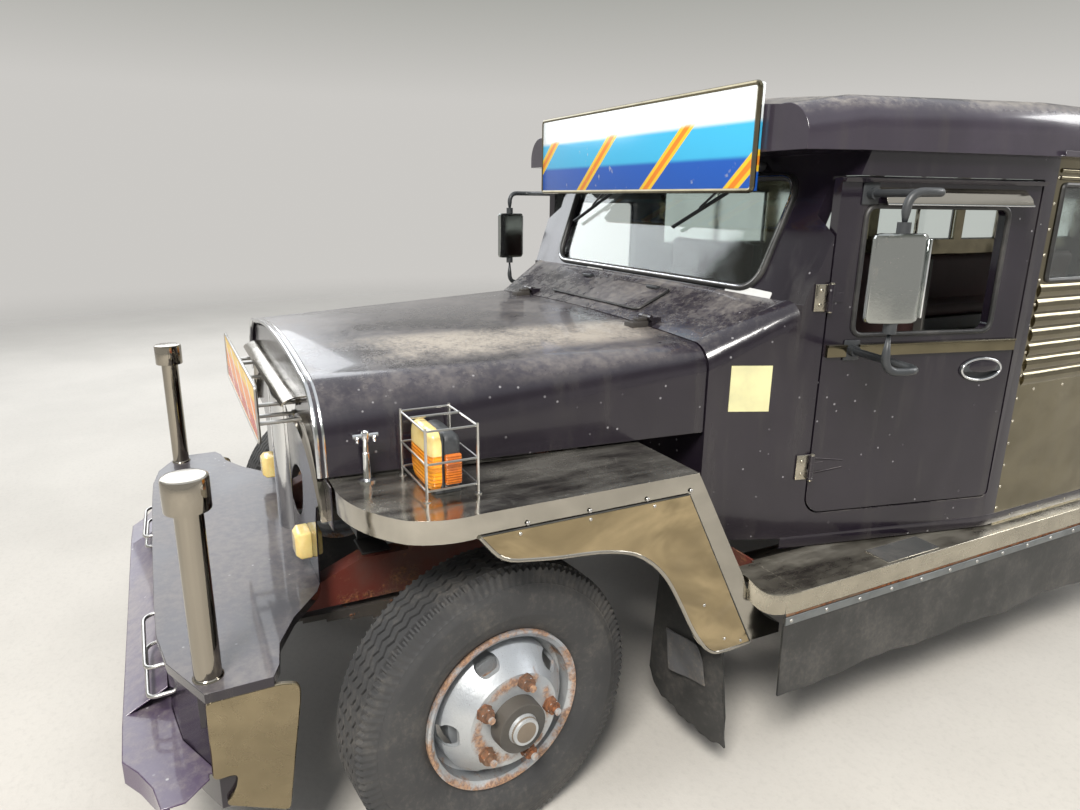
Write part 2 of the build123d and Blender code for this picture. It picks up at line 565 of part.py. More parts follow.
def nose_lamp(x):
    """A boxy marker lamp in two halves, one on each face of the nose panel."""
    front = Plane(origin=(x, NOSE_Y, 691), z_dir=(0, -1, 0))
    body = loft([front * Rectangle(*LAMP), front.offset(30) * Rectangle(*LAMP), front.offset(43) * Rectangle(60, 62)],
                ruled=True)
    rear = extrude(Plane(origin=(x, NOSE_Y + PANEL_SHEET, 691), z_dir=(0, 1, 0)) * Rectangle(70, 72), 26)
    return [body, rear]


node("nose_lamps", nose_lamp(LAMP_X) + nose_lamp(-LAMP_X))

# Front fenders
FENDER_NOSE = [(700, -322), ((860, -290), (950, -226)), ((978, -170), (FENDER_X, -76))]
fender_face = contour(on_level(FENDER_TOP - FENDER_BAND), (628, -322),
                      FENDER_NOSE + [(FENDER_X, FENDER_REAR_Y), (714, FENDER_REAR_Y)])
pan = extrude(fender_face, FENDER_BAND)
flat_face = Pos(0, 0, -FENDER_TOP + FENDER_BAND) * fender_face
hollow = Pos(0, 0, FENDER_TOP - FENDER_BAND) * offset(flat_face, -FENDER_SHEET, kind=Kind.INTERSECTION)
pan = pan - extrude(hollow, FENDER_BAND - FENDER_SHEET)
SLOPE_FOOT = (847, 468)
SLOPE_KNEE = (694, 648)
slope_face = contour(on_side(718), (FENDER_REAR_Y, FENDER_TOP), [
    SLOPE_KNEE, ((760, 533), SLOPE_FOOT), (SLOPE_FOOT[0], SLOPE_FOOT[1] - FENDER_SHEET),
    ((757, 530), (SLOPE_KNEE[0] - 4, SLOPE_KNEE[1] - 2)), (FENDER_REAR_Y - FENDER_SHEET, FENDER_TOP - FENDER_SHEET)])
slope_sheet = extrude(slope_face, FENDER_X - 718, dir=(1, 0, 0))
SKIRT_START = (-76, 925)
SKIRT = [(-23, 857), ((100, 837), (222, 827)), ((358, 786), (438, 702)), (525, 539), ((576, 464), (642, 438)), (735, 440)]
SKIRT_REAR = [(848, 438), SLOPE_FOOT, ((760, 533), SLOPE_KNEE)]
cheek_face = contour(on_side(FENDER_X - FENDER_SHEET), SKIRT_START,
                     SKIRT + SKIRT_REAR + [(FENDER_REAR_Y, FENDER_TOP), (FENDER_REAR_Y, FENDER_TOP - 4),
                                           (-76, FENDER_TOP - 4)])
cheek = extrude(cheek_face, FENDER_SHEET, dir=(1, 0, 0))
fender = fused([pan, slope_sheet, cheek])
node("front_fenders", both_sides(fender))
SKIRT_SHEET = 3.0
overlay = extrude(contour(on_side(FENDER_X), SKIRT_START, SKIRT + [(486, 925)]), SKIRT_SHEET, dir=(1, 0, 0))
node("fender_skirts", both_sides(overlay))

CAGE = (690, 874, -154, -32, FENDER_TOP, 1145)
CAGE_ROD = 3.5
RING_WIDE = 4.0
RING_HIGH = 5.0


def cage():
    """A cage of four thin legs and three square-section rings."""
    x0, x1, y0, y1, z0, z1 = CAGE
    legs = [rod((x, y, z0), (x, y, z1), CAGE_ROD) for x in (x0, x1) for y in (y0, y1)]
    cage_plan = Pos((x0 + x1) / 2, (y0 + y1) / 2, 0)
    outer = Rectangle(x1 - x0 + RING_WIDE, y1 - y0 + RING_WIDE)
    inner = Rectangle(x1 - x0 - RING_WIDE, y1 - y0 - RING_WIDE)
    rings = [cage_plan * Pos(0, 0, z) * extrude(outer - inner, RING_HIGH) for z in (z0 + 22, z0 + 84, z1 - 10)]
    return fused(legs + rings)


def latch():
    """The hood's holding post with its cross handle."""
    stem = rod((648, -240, FENDER_TOP), (648, -240, FENDER_TOP + 118), 9)
    foot = rod((648, -240, FENDER_TOP), (648, -240, FENDER_TOP + 8), 20)
    handle = rod((648, -268, FENDER_TOP + 112), (648, -212, FENDER_TOP + 112), 8)
    return Pos(42, 0, 0) * fused([stem, foot, handle])


node("fender_fittings", both_sides(cage()) + both_sides(latch()))
LAMP_CASE = (706, 858, -130, -60, FENDER_TOP, 1128)
LENS_PROUD = 8.0             # how far the lens stands out of its case
LENS_EDGE = 9.0              # the case's rim round the lens


def signal_lamp():
    """The fender lamp: a case with rounded upright edges and a chamfered lens on its front."""
    x0, x1, y0, y1, z0, z1 = LAMP_CASE
    case = block(*LAMP_CASE)
    case = fillet(case.edges().filter_by(Axis.Z), 14)
    case = chamfer(case.faces().sort_by(Axis.Z)[-1].edges(), 5)
    lens_front = Plane(origin=((x0 + x1) / 2, y0, (z0 + z1) / 2), z_dir=(0, -1, 0))
    wide, high = x1 - x0 - 2 * LENS_EDGE - 10, z1 - z0 - 2 * LENS_EDGE
    lens = loft([lens_front * Rectangle(wide, high), lens_front.offset(LENS_PROUD) * Rectangle(wide - 10, high - 10)],
                ruled=True)
    return case + lens


node("signal_lamps", both_sides(signal_lamp()))

# Cab shell
DOOR_SLOPE = (1000 - 850) / (DOOR_REAR_Y - DOOR_FRONT_Y)
PLAN = [(850 - (DOOR_FRONT_Y - 965) * DOOR_SLOPE, 965), (850, DOOR_FRONT_Y), (1000, DOOR_REAR_Y)]
CAB_REAR_Y = 1762.0
COWL_Y = HOOD_REAR_Y + GAP
SILL_LOW = 640.0
RAKE_LOW = (971.0, 1352.0)
RAKE_TOP = (1122.0, BODY_TOP)


def plan_prism(inset, y_end, z0, z1):
    """The cab's plan between two heights: it widens towards the back."""
    half = [(x - inset, y) for x, y in PLAN] + [(PLAN[-1][0] - inset, y_end)]
    return level_plate([(-x, y) for x, y in reversed(half)] + half, z0, z1)


def windshield_arch(y, low_z, inset):
    """The cowl's section below the windshield."""
    half = PLAN[0][0]
    return arch(y, (half, low_z), (half, 1290), (half - 17, 1342), (half - 78, 1354), 1360, inset)


cab_side = side_plate([(965, SILL_LOW), (965, RAKE_LOW[1]), RAKE_LOW, RAKE_TOP, (CAB_REAR_Y, BODY_TOP),
                       (CAB_REAR_Y, SILL_LOW)], -1100, 1100)
cab_outer = cab_side & plan_prism(0, CAB_REAR_Y, 0, 2000)
cowl_outer = loft([rear_arch(COWL_Y, SILL_LOW, 0), windshield_arch(965, SILL_LOW, 0)], ruled=True)
cab_hollow = side_plate([(960, 600), (960, 1316), (1006, 1330), (1160, BODY_TOP + 1), (CAB_REAR_Y + 1, BODY_TOP + 1),
                         (CAB_REAR_Y + 1, 600)], -1100, 1100) & plan_prism(WALL, CAB_REAR_Y + 1, 0, 2000)
cowl_hollow = loft([rear_arch(COWL_Y + 22, 600, 30), windshield_arch(966, 600, WALL)], ruled=True)
shell = (cab_outer + cowl_outer) - cab_hollow - cowl_hollow
VENT = (600.0, 140.0, 16.0)  # the fresh-air lid behind the hood: width, length, thickness
cowl_tilt = math.degrees(math.atan2(1360.0 - 1256.0, 965.0 - COWL_Y))
vent_mid = (COWL_Y + 965.0) / 2 - 5
vent_z = 1256.0 + (vent_mid - COWL_Y) * math.tan(math.radians(cowl_tilt))
lid = Pos(0, vent_mid, vent_z) * Rot(cowl_tilt, 0, 0) * extrude(RectangleRounded(VENT[0], VENT[1], 20), VENT[2] / 2,
                                                                both=True)
shell = shell + (lid - cowl_hollow)
for x in HOOD_HINGE_X:
    for side in (-1, 1):
        near = x + side * (HOOD_BARREL_HALF + HINGE_PLAY)
        far = near + side * HOOD_EAR
        ear = block(min(near, far), max(near, far), HOOD_PIN_Y, COWL_Y + 34, 1225, HOOD_PIN_Z)
        ear = ear & block(-1000, 1000, COWL_Y, COWL_Y + 40, 1200, 1300) - cowl_hollow
        neck = block(min(near, far), max(near, far), HOOD_PIN_Y, COWL_Y + 1, HOOD_PIN_Z - 9, HOOD_PIN_Z)
        knuckle_piece = rod((near, HOOD_PIN_Y, HOOD_PIN_Z), (far, HOOD_PIN_Y, HOOD_PIN_Z), HOOD_BARREL_R)
        shell = shell + ear + neck + knuckle_piece
    reach = HOOD_BARREL_HALF + HINGE_PLAY + HOOD_EAR
    shell = shell + rod((x - reach, HOOD_PIN_Y, HOOD_PIN_Z), (x + reach, HOOD_PIN_Y, HOOD_PIN_Z), HINGE_WIRE_R)
GLASS_TOP = BODY_TOP - 65
GLASS = [(-617, 1375), (617, 1375), (640, GLASS_TOP), (-640, GLASS_TOP)]


def windshield_prism(inset):
    """The windshield's outline carried back through the raked wall."""
    face = make_face(Polyline(*[(x, z) for x, z in GLASS], close=True))
    face = fillet(face.vertices(), 55)
    if inset:
        face = offset(face, -inset)
    return extrude(Plane(origin=(0, 900, 0), x_dir=(1, 0, 0), z_dir=(0, -1, 0)) * face, -320)


shell = shell - windshield_prism(0)
DOOR_TURN = math.degrees(math.atan2(PLAN[2][0] - PLAN[1][0], PLAN[2][1] - PLAN[1][1]))
DOOR_LONG = math.hypot(PLAN[2][0] - PLAN[1][0], PLAN[2][1] - PLAN[1][1])
DOOR_LOW = 711.0
DOOR_TOP = BODY_TOP - 63
at_door = Pos(PLAN[1][0], PLAN[1][1], 0) * Rot(0, 0, -DOOR_TURN)


DOOR_FRONT_R = 60.0          # the hole's lower front corner
DOOR_REAR_R = 24.0           # its lower rear corner


def door_outline(gap, x0, x1):
    """The door's block, or with no gap its hole: round lower corners, the front one larger."""
    low, top, back = DOOR_LOW + gap, DOOR_TOP - gap, DOOR_LONG - gap
    r, q = DOOR_FRONT_R - gap, DOOR_REAR_R - gap
    bow = 1 - math.sqrt(0.5)
    face = contour(on_side(x0), (gap, low + r), [
        ((gap + r * bow, low + r * bow), (gap + r, low)), (back - q, low),
        ((back - q * bow, low + q * bow), (back, low + q)), (back, top), (gap, top)])
    return extrude(face, x1 - x0, dir=(1, 0, 0))


DOOR_WINDOW = (92, 572, 1262, DOOR_TOP - 80)
door_hole = at_door * door_outline(0, -90, 60)
for hole in both_sides(door_hole):
    shell = shell - hole
HINGE_PIN_X = 11.0
HINGE_PIN_Y = GAP / 2
HINGE_MID = 13.0             # half height of the door's middle knuckle
HINGE_PIN_R = 8.0
HINGE_ZS = (868, 1372)
HINGE_HALF = 38.0


def hinge_half(is_door):
    """The knuckles and leaf of the two butt hinges, on the door or on the pillar, whose half has the pin."""
    pieces = []
    for z in HINGE_ZS:
        if is_door:
            spans = [(z - HINGE_MID, z + HINGE_MID)]
            leaf = block(-8, 4, HINGE_PIN_Y + GAP / 2, 48, z - HINGE_MID, z + HINGE_MID)
            near, far = HINGE_PIN_Y, HINGE_PIN_Y + 9
        else:
            low_knuckle = (z - HINGE_HALF, z - HINGE_MID - HINGE_PLAY)
            high_knuckle = (z + HINGE_MID + HINGE_PLAY, z + HINGE_HALF)
            spans = [low_knuckle, high_knuckle]
            leaf = block(-8, 4, -44, HINGE_PIN_Y - GAP / 2, z - HINGE_HALF, z + HINGE_HALF)
            leaf = leaf - block(0, 5, -7, 1, low_knuckle[1], high_knuckle[0])
            leaf = leaf + Pos(HINGE_PIN_X, HINGE_PIN_Y, z) * Cylinder(HINGE_WIRE_R, 2 * HINGE_HALF)
            near, far = HINGE_PIN_Y - 9, HINGE_PIN_Y
        for low, high in spans:
            barrel = Pos(HINGE_PIN_X, HINGE_PIN_Y, (low + high) / 2) * Cylinder(HINGE_PIN_R, high - low)
            leaf = leaf + barrel + block(0, HINGE_PIN_X, near, far, low, high)
        if is_door:
            bore = Pos(HINGE_PIN_X, HINGE_PIN_Y, z) * Cylinder(HINGE_WIRE_R + PIN_PLAY, 2 * HINGE_HALF)
            leaf = leaf - bore
        pieces.append(leaf)
    return pieces


for leaf in hinge_half(False):
    for side in both_sides(at_door * leaf):
        shell = shell + side
node("cowl", shell)

door = door_outline(GAP, -WALL, 0)
window_cut = block(-WALL - 5, 60, DOOR_WINDOW[0], DOOR_WINDOW[1], DOOR_WINDOW[2], DOOR_WINDOW[3])
window_cut = fillet(window_cut.edges().filter_by(Axis.X), 26)
door = door - window_cut
for leaf in hinge_half(True):
    door = door + leaf
BELT = (1201, 1231, 9)                        # bright strip under the window: z, z and thickness
BELT_SPANS = ((14, 75), (117, DOOR_LONG - 12))    # before and behind the mirror's lower foot
VISOR = (118, 606, 46, 50)                    # rain visor: along, along, its height and its reach
HANDLE = (566, 1143, 152, 76, 9, 7)           # oval handle: along, z, length, height, rim and dish depth


def half_round(along_0, along_1, low, high, out):
    """A strip on the door's face, flat behind and bowed in front."""
    middle = (low + high) / 2
    face = contour(lambda x, z: (x, along_0, z), (-1, low), [(0, low), ((out, middle), (0, high)), (-1, high)])
    return extrude(face, along_1 - along_0, dir=(0, 1, 0))


def rain_visor():
    """A folded sheet that hangs out over the window's top edge."""
    along_0, along_1, high, out = VISOR
    low = DOOR_WINDOW[3] + 4
    line = [(-1, low + high), (10, low + high), (out * 0.8, low + high * 0.45), (out, low), (out - 3, low),
            (out * 0.8 - 3, low + high * 0.45 - 2), (9, low + high - 4), (-1, low + high - 4)]
    face = make_face(Polyline(*[(x, along_0, z) for x, z in line], close=True))
    return extrude(face, along_1 - along_0, dir=(0, 1, 0))


def handle(door_body):
    """The door with its oval handle: a raised rim, a dish cut into the door and a bar across it."""
    along, z, long, high, rim_wide, deep = HANDLE
    on_face = Plane(origin=(-1, along, z), x_dir=(0, 1, 0), z_dir=(1, 0, 0))
    dish_long, dish_high = long - 2 * rim_wide, high - 2 * rim_wide
    ring_face = on_face * (Ellipse(long / 2, high / 2) - Ellipse(dish_long / 2, dish_high / 2))
    dish = on_face * extrude(Ellipse(dish_long / 2, dish_high / 2), deep, both=True)
    bar = on_face * Pos(0, 4, 0) * extrude(RectangleRounded(dish_long + 6, 20, 9), rim_wide - 1)
    return (door_body - dish) + extrude(ring_face, rim_wide - 2) + bar


door = handle(door) + rain_visor()
for along_0, along_1 in BELT_SPANS:
    door = door + half_round(along_0, along_1, *BELT)
for side, shape in zip(("left", "right"), both_sides(at_door * door)):
    node("door_" + side, shape)

MIRROR = (262, 300, -90, 60, 1345, 1560)
ARM_TOP = DOOR_TOP - 47
ARM_LOW = 1219.0             # lower pipe, at the height of the bright strip
ARM_ALONG = 96.0
ARM_R = 11.0
ARM_BEND = 40.0
HEAD_X = (MIRROR[0] + MIRROR[1]) / 2
HEAD_ALONG = (MIRROR[2] + MIRROR[3]) / 2
mirror_head = block(*MIRROR)
mirror_head = fillet(mirror_head.edges().filter_by(Axis.X), 18)
mirror_head = fillet(mirror_head.faces().sort_by(Axis.X)[-1].edges(), 8)


def mirror_arm(z_arm, z_head):
    """A bent pipe from its foot on the door to the mirror's head, with a collar where it enters the head."""
    path = FilletPolyline((0, ARM_ALONG, z_arm), (HEAD_X, ARM_ALONG, z_arm), (HEAD_X, HEAD_ALONG, z_arm),
                          (HEAD_X, HEAD_ALONG, z_head), radius=ARM_BEND)
    pipe = sweep(Plane(origin=path @ 0, z_dir=path % 0) * Circle(ARM_R), path=path)
    way = 1 if z_head > z_arm else -1
    collar = rod((HEAD_X, HEAD_ALONG, z_head - 22 * way), (HEAD_X, HEAD_ALONG, z_head + 4 * way), ARM_R + 5)
    foot = block(0, 6, ARM_ALONG - 20, ARM_ALONG + 20, z_arm - 17, z_arm + 17)
    return [pipe, collar, foot]


mirror_piece = fused([mirror_head] + mirror_arm(ARM_TOP, MIRROR[5]) + mirror_arm(ARM_LOW, MIRROR[4]))
for side, shape in zip(("left", "right"), both_sides(at_door * mirror_piece)):
    node("mirror_" + side, shape)

rake_slab = side_plate([(RAKE_LOW[0] + 12, RAKE_LOW[1]), (RAKE_TOP[0] + 12, RAKE_TOP[1]),
                        (RAKE_TOP[0] + 18, RAKE_TOP[1]), (RAKE_LOW[0] + 18, RAKE_LOW[1])], -900, 900)
node("windshield_glass", rake_slab & windshield_prism(0.3))

# Floor, sides, roof and rear
WHEEL_BOX = (488, 962, REAR_AXLE_Y - 470, REAR_AXLE_Y + 470, 880)
REAR_WALL_Y = BODY_REAR_Y - WALL
BODY_X = PLAN[-1][0]
INNER_X = BODY_X - WALL
floor_half = [(700, 755), (780, 965), (PLAN[1][0] - WALL - 1, DOOR_FRONT_Y), (INNER_X - 1, DOOR_REAR_Y),
              (INNER_X, 1765), (INNER_X, REAR_WALL_Y)]
floor = level_plate([(-x, y) for x, y in reversed(floor_half)] + floor_half, FLOOR_TOP - FLOOR_THICK, FLOOR_TOP)
for side in (-1, 1):
    x0, x1, y0, y1, z1 = WHEEL_BOX
    box = block(min(side * x0, side * INNER_X), max(side * x0, side * INNER_X), y0, y1, FLOOR_TOP - FLOOR_THICK, z1)
    inside = block(min(side * (x0 + 6), side * 1000), max(side * (x0 + 6), side * 1000), y0 + 6, y1 - 6, 600, z1 - 6)
    floor = floor + box - inside
node("floor", floor)

SIDE_LOW = BOARD_TOP
WINDOWS = ((1800, 2520), (2600, 3360), (3440, 4200), (4280, 5040), (5120, 5600))     # y of each window
WINDOW_LOW = 1408.0
WINDOW_TOP = BODY_TOP - 75
ARCH_R = 452.0
side_wall = block(INNER_X, BODY_X, CAB_REAR_Y, BODY_REAR_Y, SIDE_LOW, BODY_TOP)
side_wall = side_wall - Pos(BODY_X, REAR_AXLE_Y, WHEEL_Z) * Rot(0, 90, 0) * Cylinder(ARCH_R, 200)
RIB_BAND = (1074.0, 1400.0)  # the corrugated band below the windows
RIB_COUNT = 7
RIB_HIGH = 7.0
RIB_SPACING = (RIB_BAND[1] - RIB_BAND[0]) / RIB_COUNT
RIB_END = 14.0               # plain sheet before the first and after the last window post


def side_rib(low, high, out):
    """One long half-round rib of the side's stainless sheet."""
    y0, y1 = CAB_REAR_Y + RIB_END, BODY_REAR_Y - RIB_END
    face = contour(on_front(y0), (BODY_X - 1, low), [(BODY_X, low), ((BODY_X + out, (low + high) / 2), (BODY_X, high)),
                                                    (BODY_X - 1, high)])
    return extrude(face, y1 - y0, dir=(0, 1, 0))


for index in range(RIB_COUNT):
    rib_low = RIB_BAND[0] + index * RIB_SPACING
    side_wall = side_wall + side_rib(rib_low + 3, rib_low + RIB_SPACING - 3, RIB_HIGH)
TOP_RIB_HALF = 7.0
for z in (WINDOW_TOP + 20, WINDOW_TOP + 40):
    side_wall = side_wall + side_rib(z - TOP_RIB_HALF, z + TOP_RIB_HALF, RIB_HIGH - 2)
panes = []
for y0, y1 in WINDOWS:
    side_wall = side_wall - block(INNER_X - 5, BODY_X + 5, y0, y1, WINDOW_LOW, WINDOW_TOP)
    panes += both_sides(block(BODY_X - 21, BODY_X - 16, y0 + 0.3, y1 - 0.3, WINDOW_LOW + 0.3, WINDOW_TOP - 0.3))
for side, shape in zip(("left", "right"), both_sides(side_wall)):
    node("side_" + side, shape)


def roof_section(y, half, top, low, inset_x, inset_z):
    """A section of the roof: upright edges, round shoulders and a gentle crown."""
    w, t = half - inset_x, top - inset_z
    steps = [(w, low + 40), ((w - 18, t - 75), (w - 110, t - 38)), ((0, t), (-w + 110, t - 38)),
             ((-w + 18, t - 75), (-w, low + 40)), (-w, low)]
    return contour(on_front(y), (w, low), steps)


ROOF_OVER = 30.0
ROOF_FRONT_Y = 932.0
ROOF_SECTIONS = ((ROOF_FRONT_Y, 822, ROOF_TOP - 30), (1080, 889, ROOF_TOP - 7),
                 (DOOR_REAR_Y, BODY_X + ROOF_OVER, ROOF_TOP), (BODY_REAR_Y + 60, BODY_X + ROOF_OVER, ROOF_TOP))
roof = loft([roof_section(y, half, top, BODY_TOP, 0, 0) for y, half, top in ROOF_SECTIONS], ruled=True)
roof_in = loft([roof_section(y, half, top, BODY_TOP - 1, WALL + ROOF_OVER, 30)
                for y, half, top in ((1160, 907, ROOF_TOP - 6), (DOOR_REAR_Y, BODY_X + ROOF_OVER, ROOF_TOP),
                                     (BODY_REAR_Y - WALL, BODY_X + ROOF_OVER, ROOF_TOP))], ruled=True)
roof = roof - roof_in
GUTTER = (14.0, 16.0)        # how far the rain gutter stands out of the roof's edge and how high it is
gutter_face = make_face(Polyline(*[(BODY_X + ROOF_OVER + x, DOOR_REAR_Y, BODY_TOP + z) for x, z in
                                   ((-2, 0), (GUTTER[0], 0), (GUTTER[0], GUTTER[1]), (GUTTER[0] - 3, GUTTER[1]),
                                    (GUTTER[0] - 3, 3), (-2, 3))], close=True))
gutter = extrude(gutter_face, BODY_REAR_Y - DOOR_REAR_Y, dir=(0, 1, 0))
for piece in both_sides(gutter):
    roof = roof + piece
node("roof", roof)

ENTRANCE_X = 330.0
ENTRANCE_TOP = BODY_TOP - 50
REAR_WINDOW = (440, 870, 1330, BODY_TOP - 125)
rear_frame = block(-INNER_X, INNER_X, REAR_WALL_Y, BODY_REAR_Y, SIDE_LOW, BODY_TOP)
rear_frame = rear_frame - block(-ENTRANCE_X, ENTRANCE_X, REAR_WALL_Y - 5, BODY_REAR_Y + 5, FLOOR_TOP, ENTRANCE_TOP)
for pane_hole in both_sides(block(REAR_WINDOW[0], REAR_WINDOW[1], REAR_WALL_Y - 5, BODY_REAR_Y + 5,
                                  REAR_WINDOW[2], REAR_WINDOW[3])):
    rear_frame = rear_frame - pane_hole
STEP_ARM_X = 370.0
for side in (-1, 1):
    rear_frame = rear_frame - block(side * STEP_ARM_X - 45, side * STEP_ARM_X + 45, REAR_WALL_Y - 5, BODY_REAR_Y + 5,
                                    0, FLOOR_TOP - 34)
node("rear_frame", rear_frame)
panes += both_sides(block(REAR_WINDOW[0] + 0.3, REAR_WINDOW[1] - 0.3, BODY_REAR_Y - 21, BODY_REAR_Y - 16,
                          REAR_WINDOW[2] + 0.3, REAR_WINDOW[3] - 0.3))
node("side_glass", panes)

STEP_Z = 430.0
step_plate = block(-420, 420, BODY_REAR_Y - 10, STEP_REAR_Y, STEP_Z - 34, STEP_Z)
step_arms = [block(side * STEP_ARM_X - 20, side * STEP_ARM_X + 20, RAIL_REAR_Y - 140, STEP_REAR_Y - 30, STEP_Z, RAIL_LOW)
             for side in (-1, 1)]
rear_bar = block(-960, 960, BODY_REAR_Y, BODY_REAR_Y + 50, RAIL_LOW, RAIL_LOW + 90)
HITCH_SPACING = 120.0
HITCH_R = 8.5
for side in (-1, 1):
    hole = rod((side * HITCH_SPACING / 2, BODY_REAR_Y - 5, RAIL_LOW + 45),
               (side * HITCH_SPACING / 2, BODY_REAR_Y + 60, RAIL_LOW + 45), HITCH_R)
    rear_bar = rear_bar - hole
node("rear_step", fused([step_plate, rear_bar] + step_arms))
TAIL_LAMP = (800, 930, 900, 1100)
tail_lamp = block(TAIL_LAMP[0], TAIL_LAMP[1], BODY_REAR_Y, BODY_REAR_Y + 36, TAIL_LAMP[2], TAIL_LAMP[3])
tail_lamp = fillet(tail_lamp.edges().filter_by(Axis.Y), 16)
tail_lamp = fillet(tail_lamp.faces().sort_by(Axis.Y)[-1].edges(), 8)
node("tail_lamps", both_sides(tail_lamp))

# Running boards and rubber
board = block(BOARD_INNER_X, BOARD_X, BOARD_FRONT_Y + 70, BOARD_REAR_Y, BOARD_TOP - BOARD_BAND, BOARD_TOP)
board = board - block(BOARD_INNER_X, BOARD_X - BOARD_SHEET, BOARD_FRONT_Y, BOARD_REAR_Y - BOARD_SHEET, 0,
                      BOARD_TOP - BOARD_SHEET)
board = board + block(*MAT[:4], BOARD_TOP - 1, BOARD_TOP + MAT[4])
node("running_boards", both_sides(board))
SEAT_GAP = 0.3               # between a soft piece and what carries it
FLAP_THICK = 8.0
flap_x = BOARD_X - BOARD_SHEET - SEAT_GAP
board_flap = block(flap_x - FLAP_THICK, flap_x, BOARD_FRONT_Y + 72, BOARD_REAR_Y - 20, 227, BOARD_TOP - 20)
MUD_FLAP_Y = 612.0
slope_fall = (FENDER_TOP - SLOPE_KNEE[1]) / (SLOPE_KNEE[0] - FENDER_REAR_Y)
mud_top = FENDER_TOP - FENDER_SHEET - (MUD_FLAP_Y - FENDER_REAR_Y + 4) * slope_fall - SEAT_GAP
mud_flap = side_plate([(MUD_FLAP_Y, 110), (MUD_FLAP_Y + FLAP_THICK, 110),
                       (MUD_FLAP_Y + FLAP_THICK, mud_top - FLAP_THICK * slope_fall), (MUD_FLAP_Y, mud_top)],
                      725, FENDER_X - FENDER_SHEET - SEAT_GAP)
rear_flap_y = WHEEL_BOX[3] + 45
rear_flap = block(520, 960, rear_flap_y, rear_flap_y + FLAP_THICK, 200, FLOOR_TOP - FLOOR_THICK - SEAT_GAP)
node("rubber_flaps", both_sides(board_flap) + both_sides(mud_flap) + both_sides(rear_flap))

# Inside
BENCH_FRONT = 590.0
BENCH_TOP = 960.0
bench = block(BENCH_FRONT, BENCH_FRONT + 18, 1900, 5560, FLOOR_TOP, BENCH_TOP - 18)
bench = bench + block(BENCH_FRONT, INNER_X, 1900, 5560, BENCH_TOP - 18, BENCH_TOP)
bench = bench - block(495, 1000, WHEEL_BOX[2] - 0.3, WHEEL_BOX[3] + 0.3, 600, WHEEL_BOX[4] + 0.3)
SEAT_X = (130.0, 680.0)
SEAT_FRONT_Y = 1250.0
SEAT_REAR_Y = 1700.0         # front face of the seat's back plate
SEAT_BOX_TOP = 820.0
seat_box = block(*SEAT_X, SEAT_FRONT_Y, SEAT_REAR_Y, FLOOR_TOP, SEAT_BOX_TOP)
seat_back = block(*SEAT_X, SEAT_REAR_Y, SEAT_REAR_Y + 12, FLOOR_TOP, 1450)
frames = both_sides(bench) + both_sides(seat_box + seat_back)
node("seat_frames", frames)
pad_join_y = SEAT_REAR_Y - 82
pads = both_sides(block(125, 690, 1235, pad_join_y, SEAT_BOX_TOP + SEAT_GAP, 920))
pads += both_sides(block(125, 690, pad_join_y + SEAT_GAP, SEAT_REAR_Y - SEAT_GAP, SEAT_BOX_TOP + SEAT_GAP, 1480))
node("front_seats", pads)
benches = both_sides(block(575, 900, 1905, 5555, BENCH_TOP + SEAT_GAP, BENCH_TOP + 75))
benches += both_sides(block(900 + SEAT_GAP, INNER_X - SEAT_GAP, 1905, 5555, BENCH_TOP + SEAT_GAP, 1330))
node("passenger_benches", benches)

dash = block(-900, 900, 975, 1038, 1180, 1312) & plan_prism(WALL, CAB_REAR_Y, 0, 2000)
node("dashboard", dash)
WHEEL_AT = (380.0, 1290.0, 1120.0)
column_foot = (380.0, 753.0 + 30, 1120.0 - (1290 - 783) * 0.75)
column = rod(WHEEL_AT, column_foot, 18)
column_way = Vector(*WHEEL_AT) - Vector(*column_foot)
at_wheel = Plane(origin=WHEEL_AT, x_dir=(1, 0, 0), z_dir=column_way)
ring = at_wheel * revolve(Pos(190, 0) * Plane.XZ * Circle(13), Axis.Z)
spokes = [at_wheel * Rot(0, 0, turn) * rod((0, 0, 0), (185, 0, 0), 7) for turn in (30, 150, 270)]
bracket = block(370, 390, 1000, 1030, 910, 1180)
node("steering_wheel", fused([column, bracket] + spokes + [ring]))

ROUTE_SIGN = (-660, 660, 900, ROOF_FRONT_Y, BODY_TOP - 113, ROOF_TOP)
sign_board = block(ROUTE_SIGN[0], ROUTE_SIGN[1], ROUTE_SIGN[2], ROUTE_SIGN[3] - 0.3, ROUTE_SIGN[4], ROUTE_SIGN[5])
node("route_sign", sign_board)

# Tie rod between the two steering arms' ball pins
turn = math.radians(PARK_STEER)
TIE_Z = WHEEL_Z - fork_gap - FORK_THICK - 44
TIE_R = 13.0
TIE_EYE_R = 21.0
TIE_EYE_HIGH = 30.0
ball_shift = (-ARM_Y * math.sin(turn), ARM_Y * math.cos(turn))
ball_at = [(side * KINGPIN_X + ball_shift[0], ball_shift[1], TIE_Z) for side in (-1, 1)]
tie_rod = rod(ball_at[0], ball_at[1], TIE_R)
for centre in ball_at:
    tie_rod = tie_rod + Pos(*centre) * Cylinder(TIE_EYE_R, TIE_EYE_HIGH)
for centre in ball_at:
    tie_rod = tie_rod - Pos(*centre) * Cylinder(BALL_PIN_R + PIN_PLAY, 80)
node("tie_rod", tie_rod)

os.makedirs("parts", exist_ok=True)
for name, solids in NODES.items():
    moved = [Pos(0, -LENGTH_MID_Y, TYRE_R - WHEEL_Z) * solid for solid in solids]
    whole = moved[0] if len(moved) == 1 else Compound(children=moved)
    export_step(whole, f"parts/{name}.step")
print(len(NODES), "nodes")
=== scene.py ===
# %% [markdown]
# A long-nosed jeepney, dressed.
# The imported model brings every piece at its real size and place, and this script gives each one its looks:
# rounded edges, smooth curves, tread, seams, trim and the finishes of paint, sheet steel, rubber and glass.
# Lengths are in metres. Places are measured from the ground under the middle of the front axle:
# x to the vehicle's left, y towards its tail, z up.

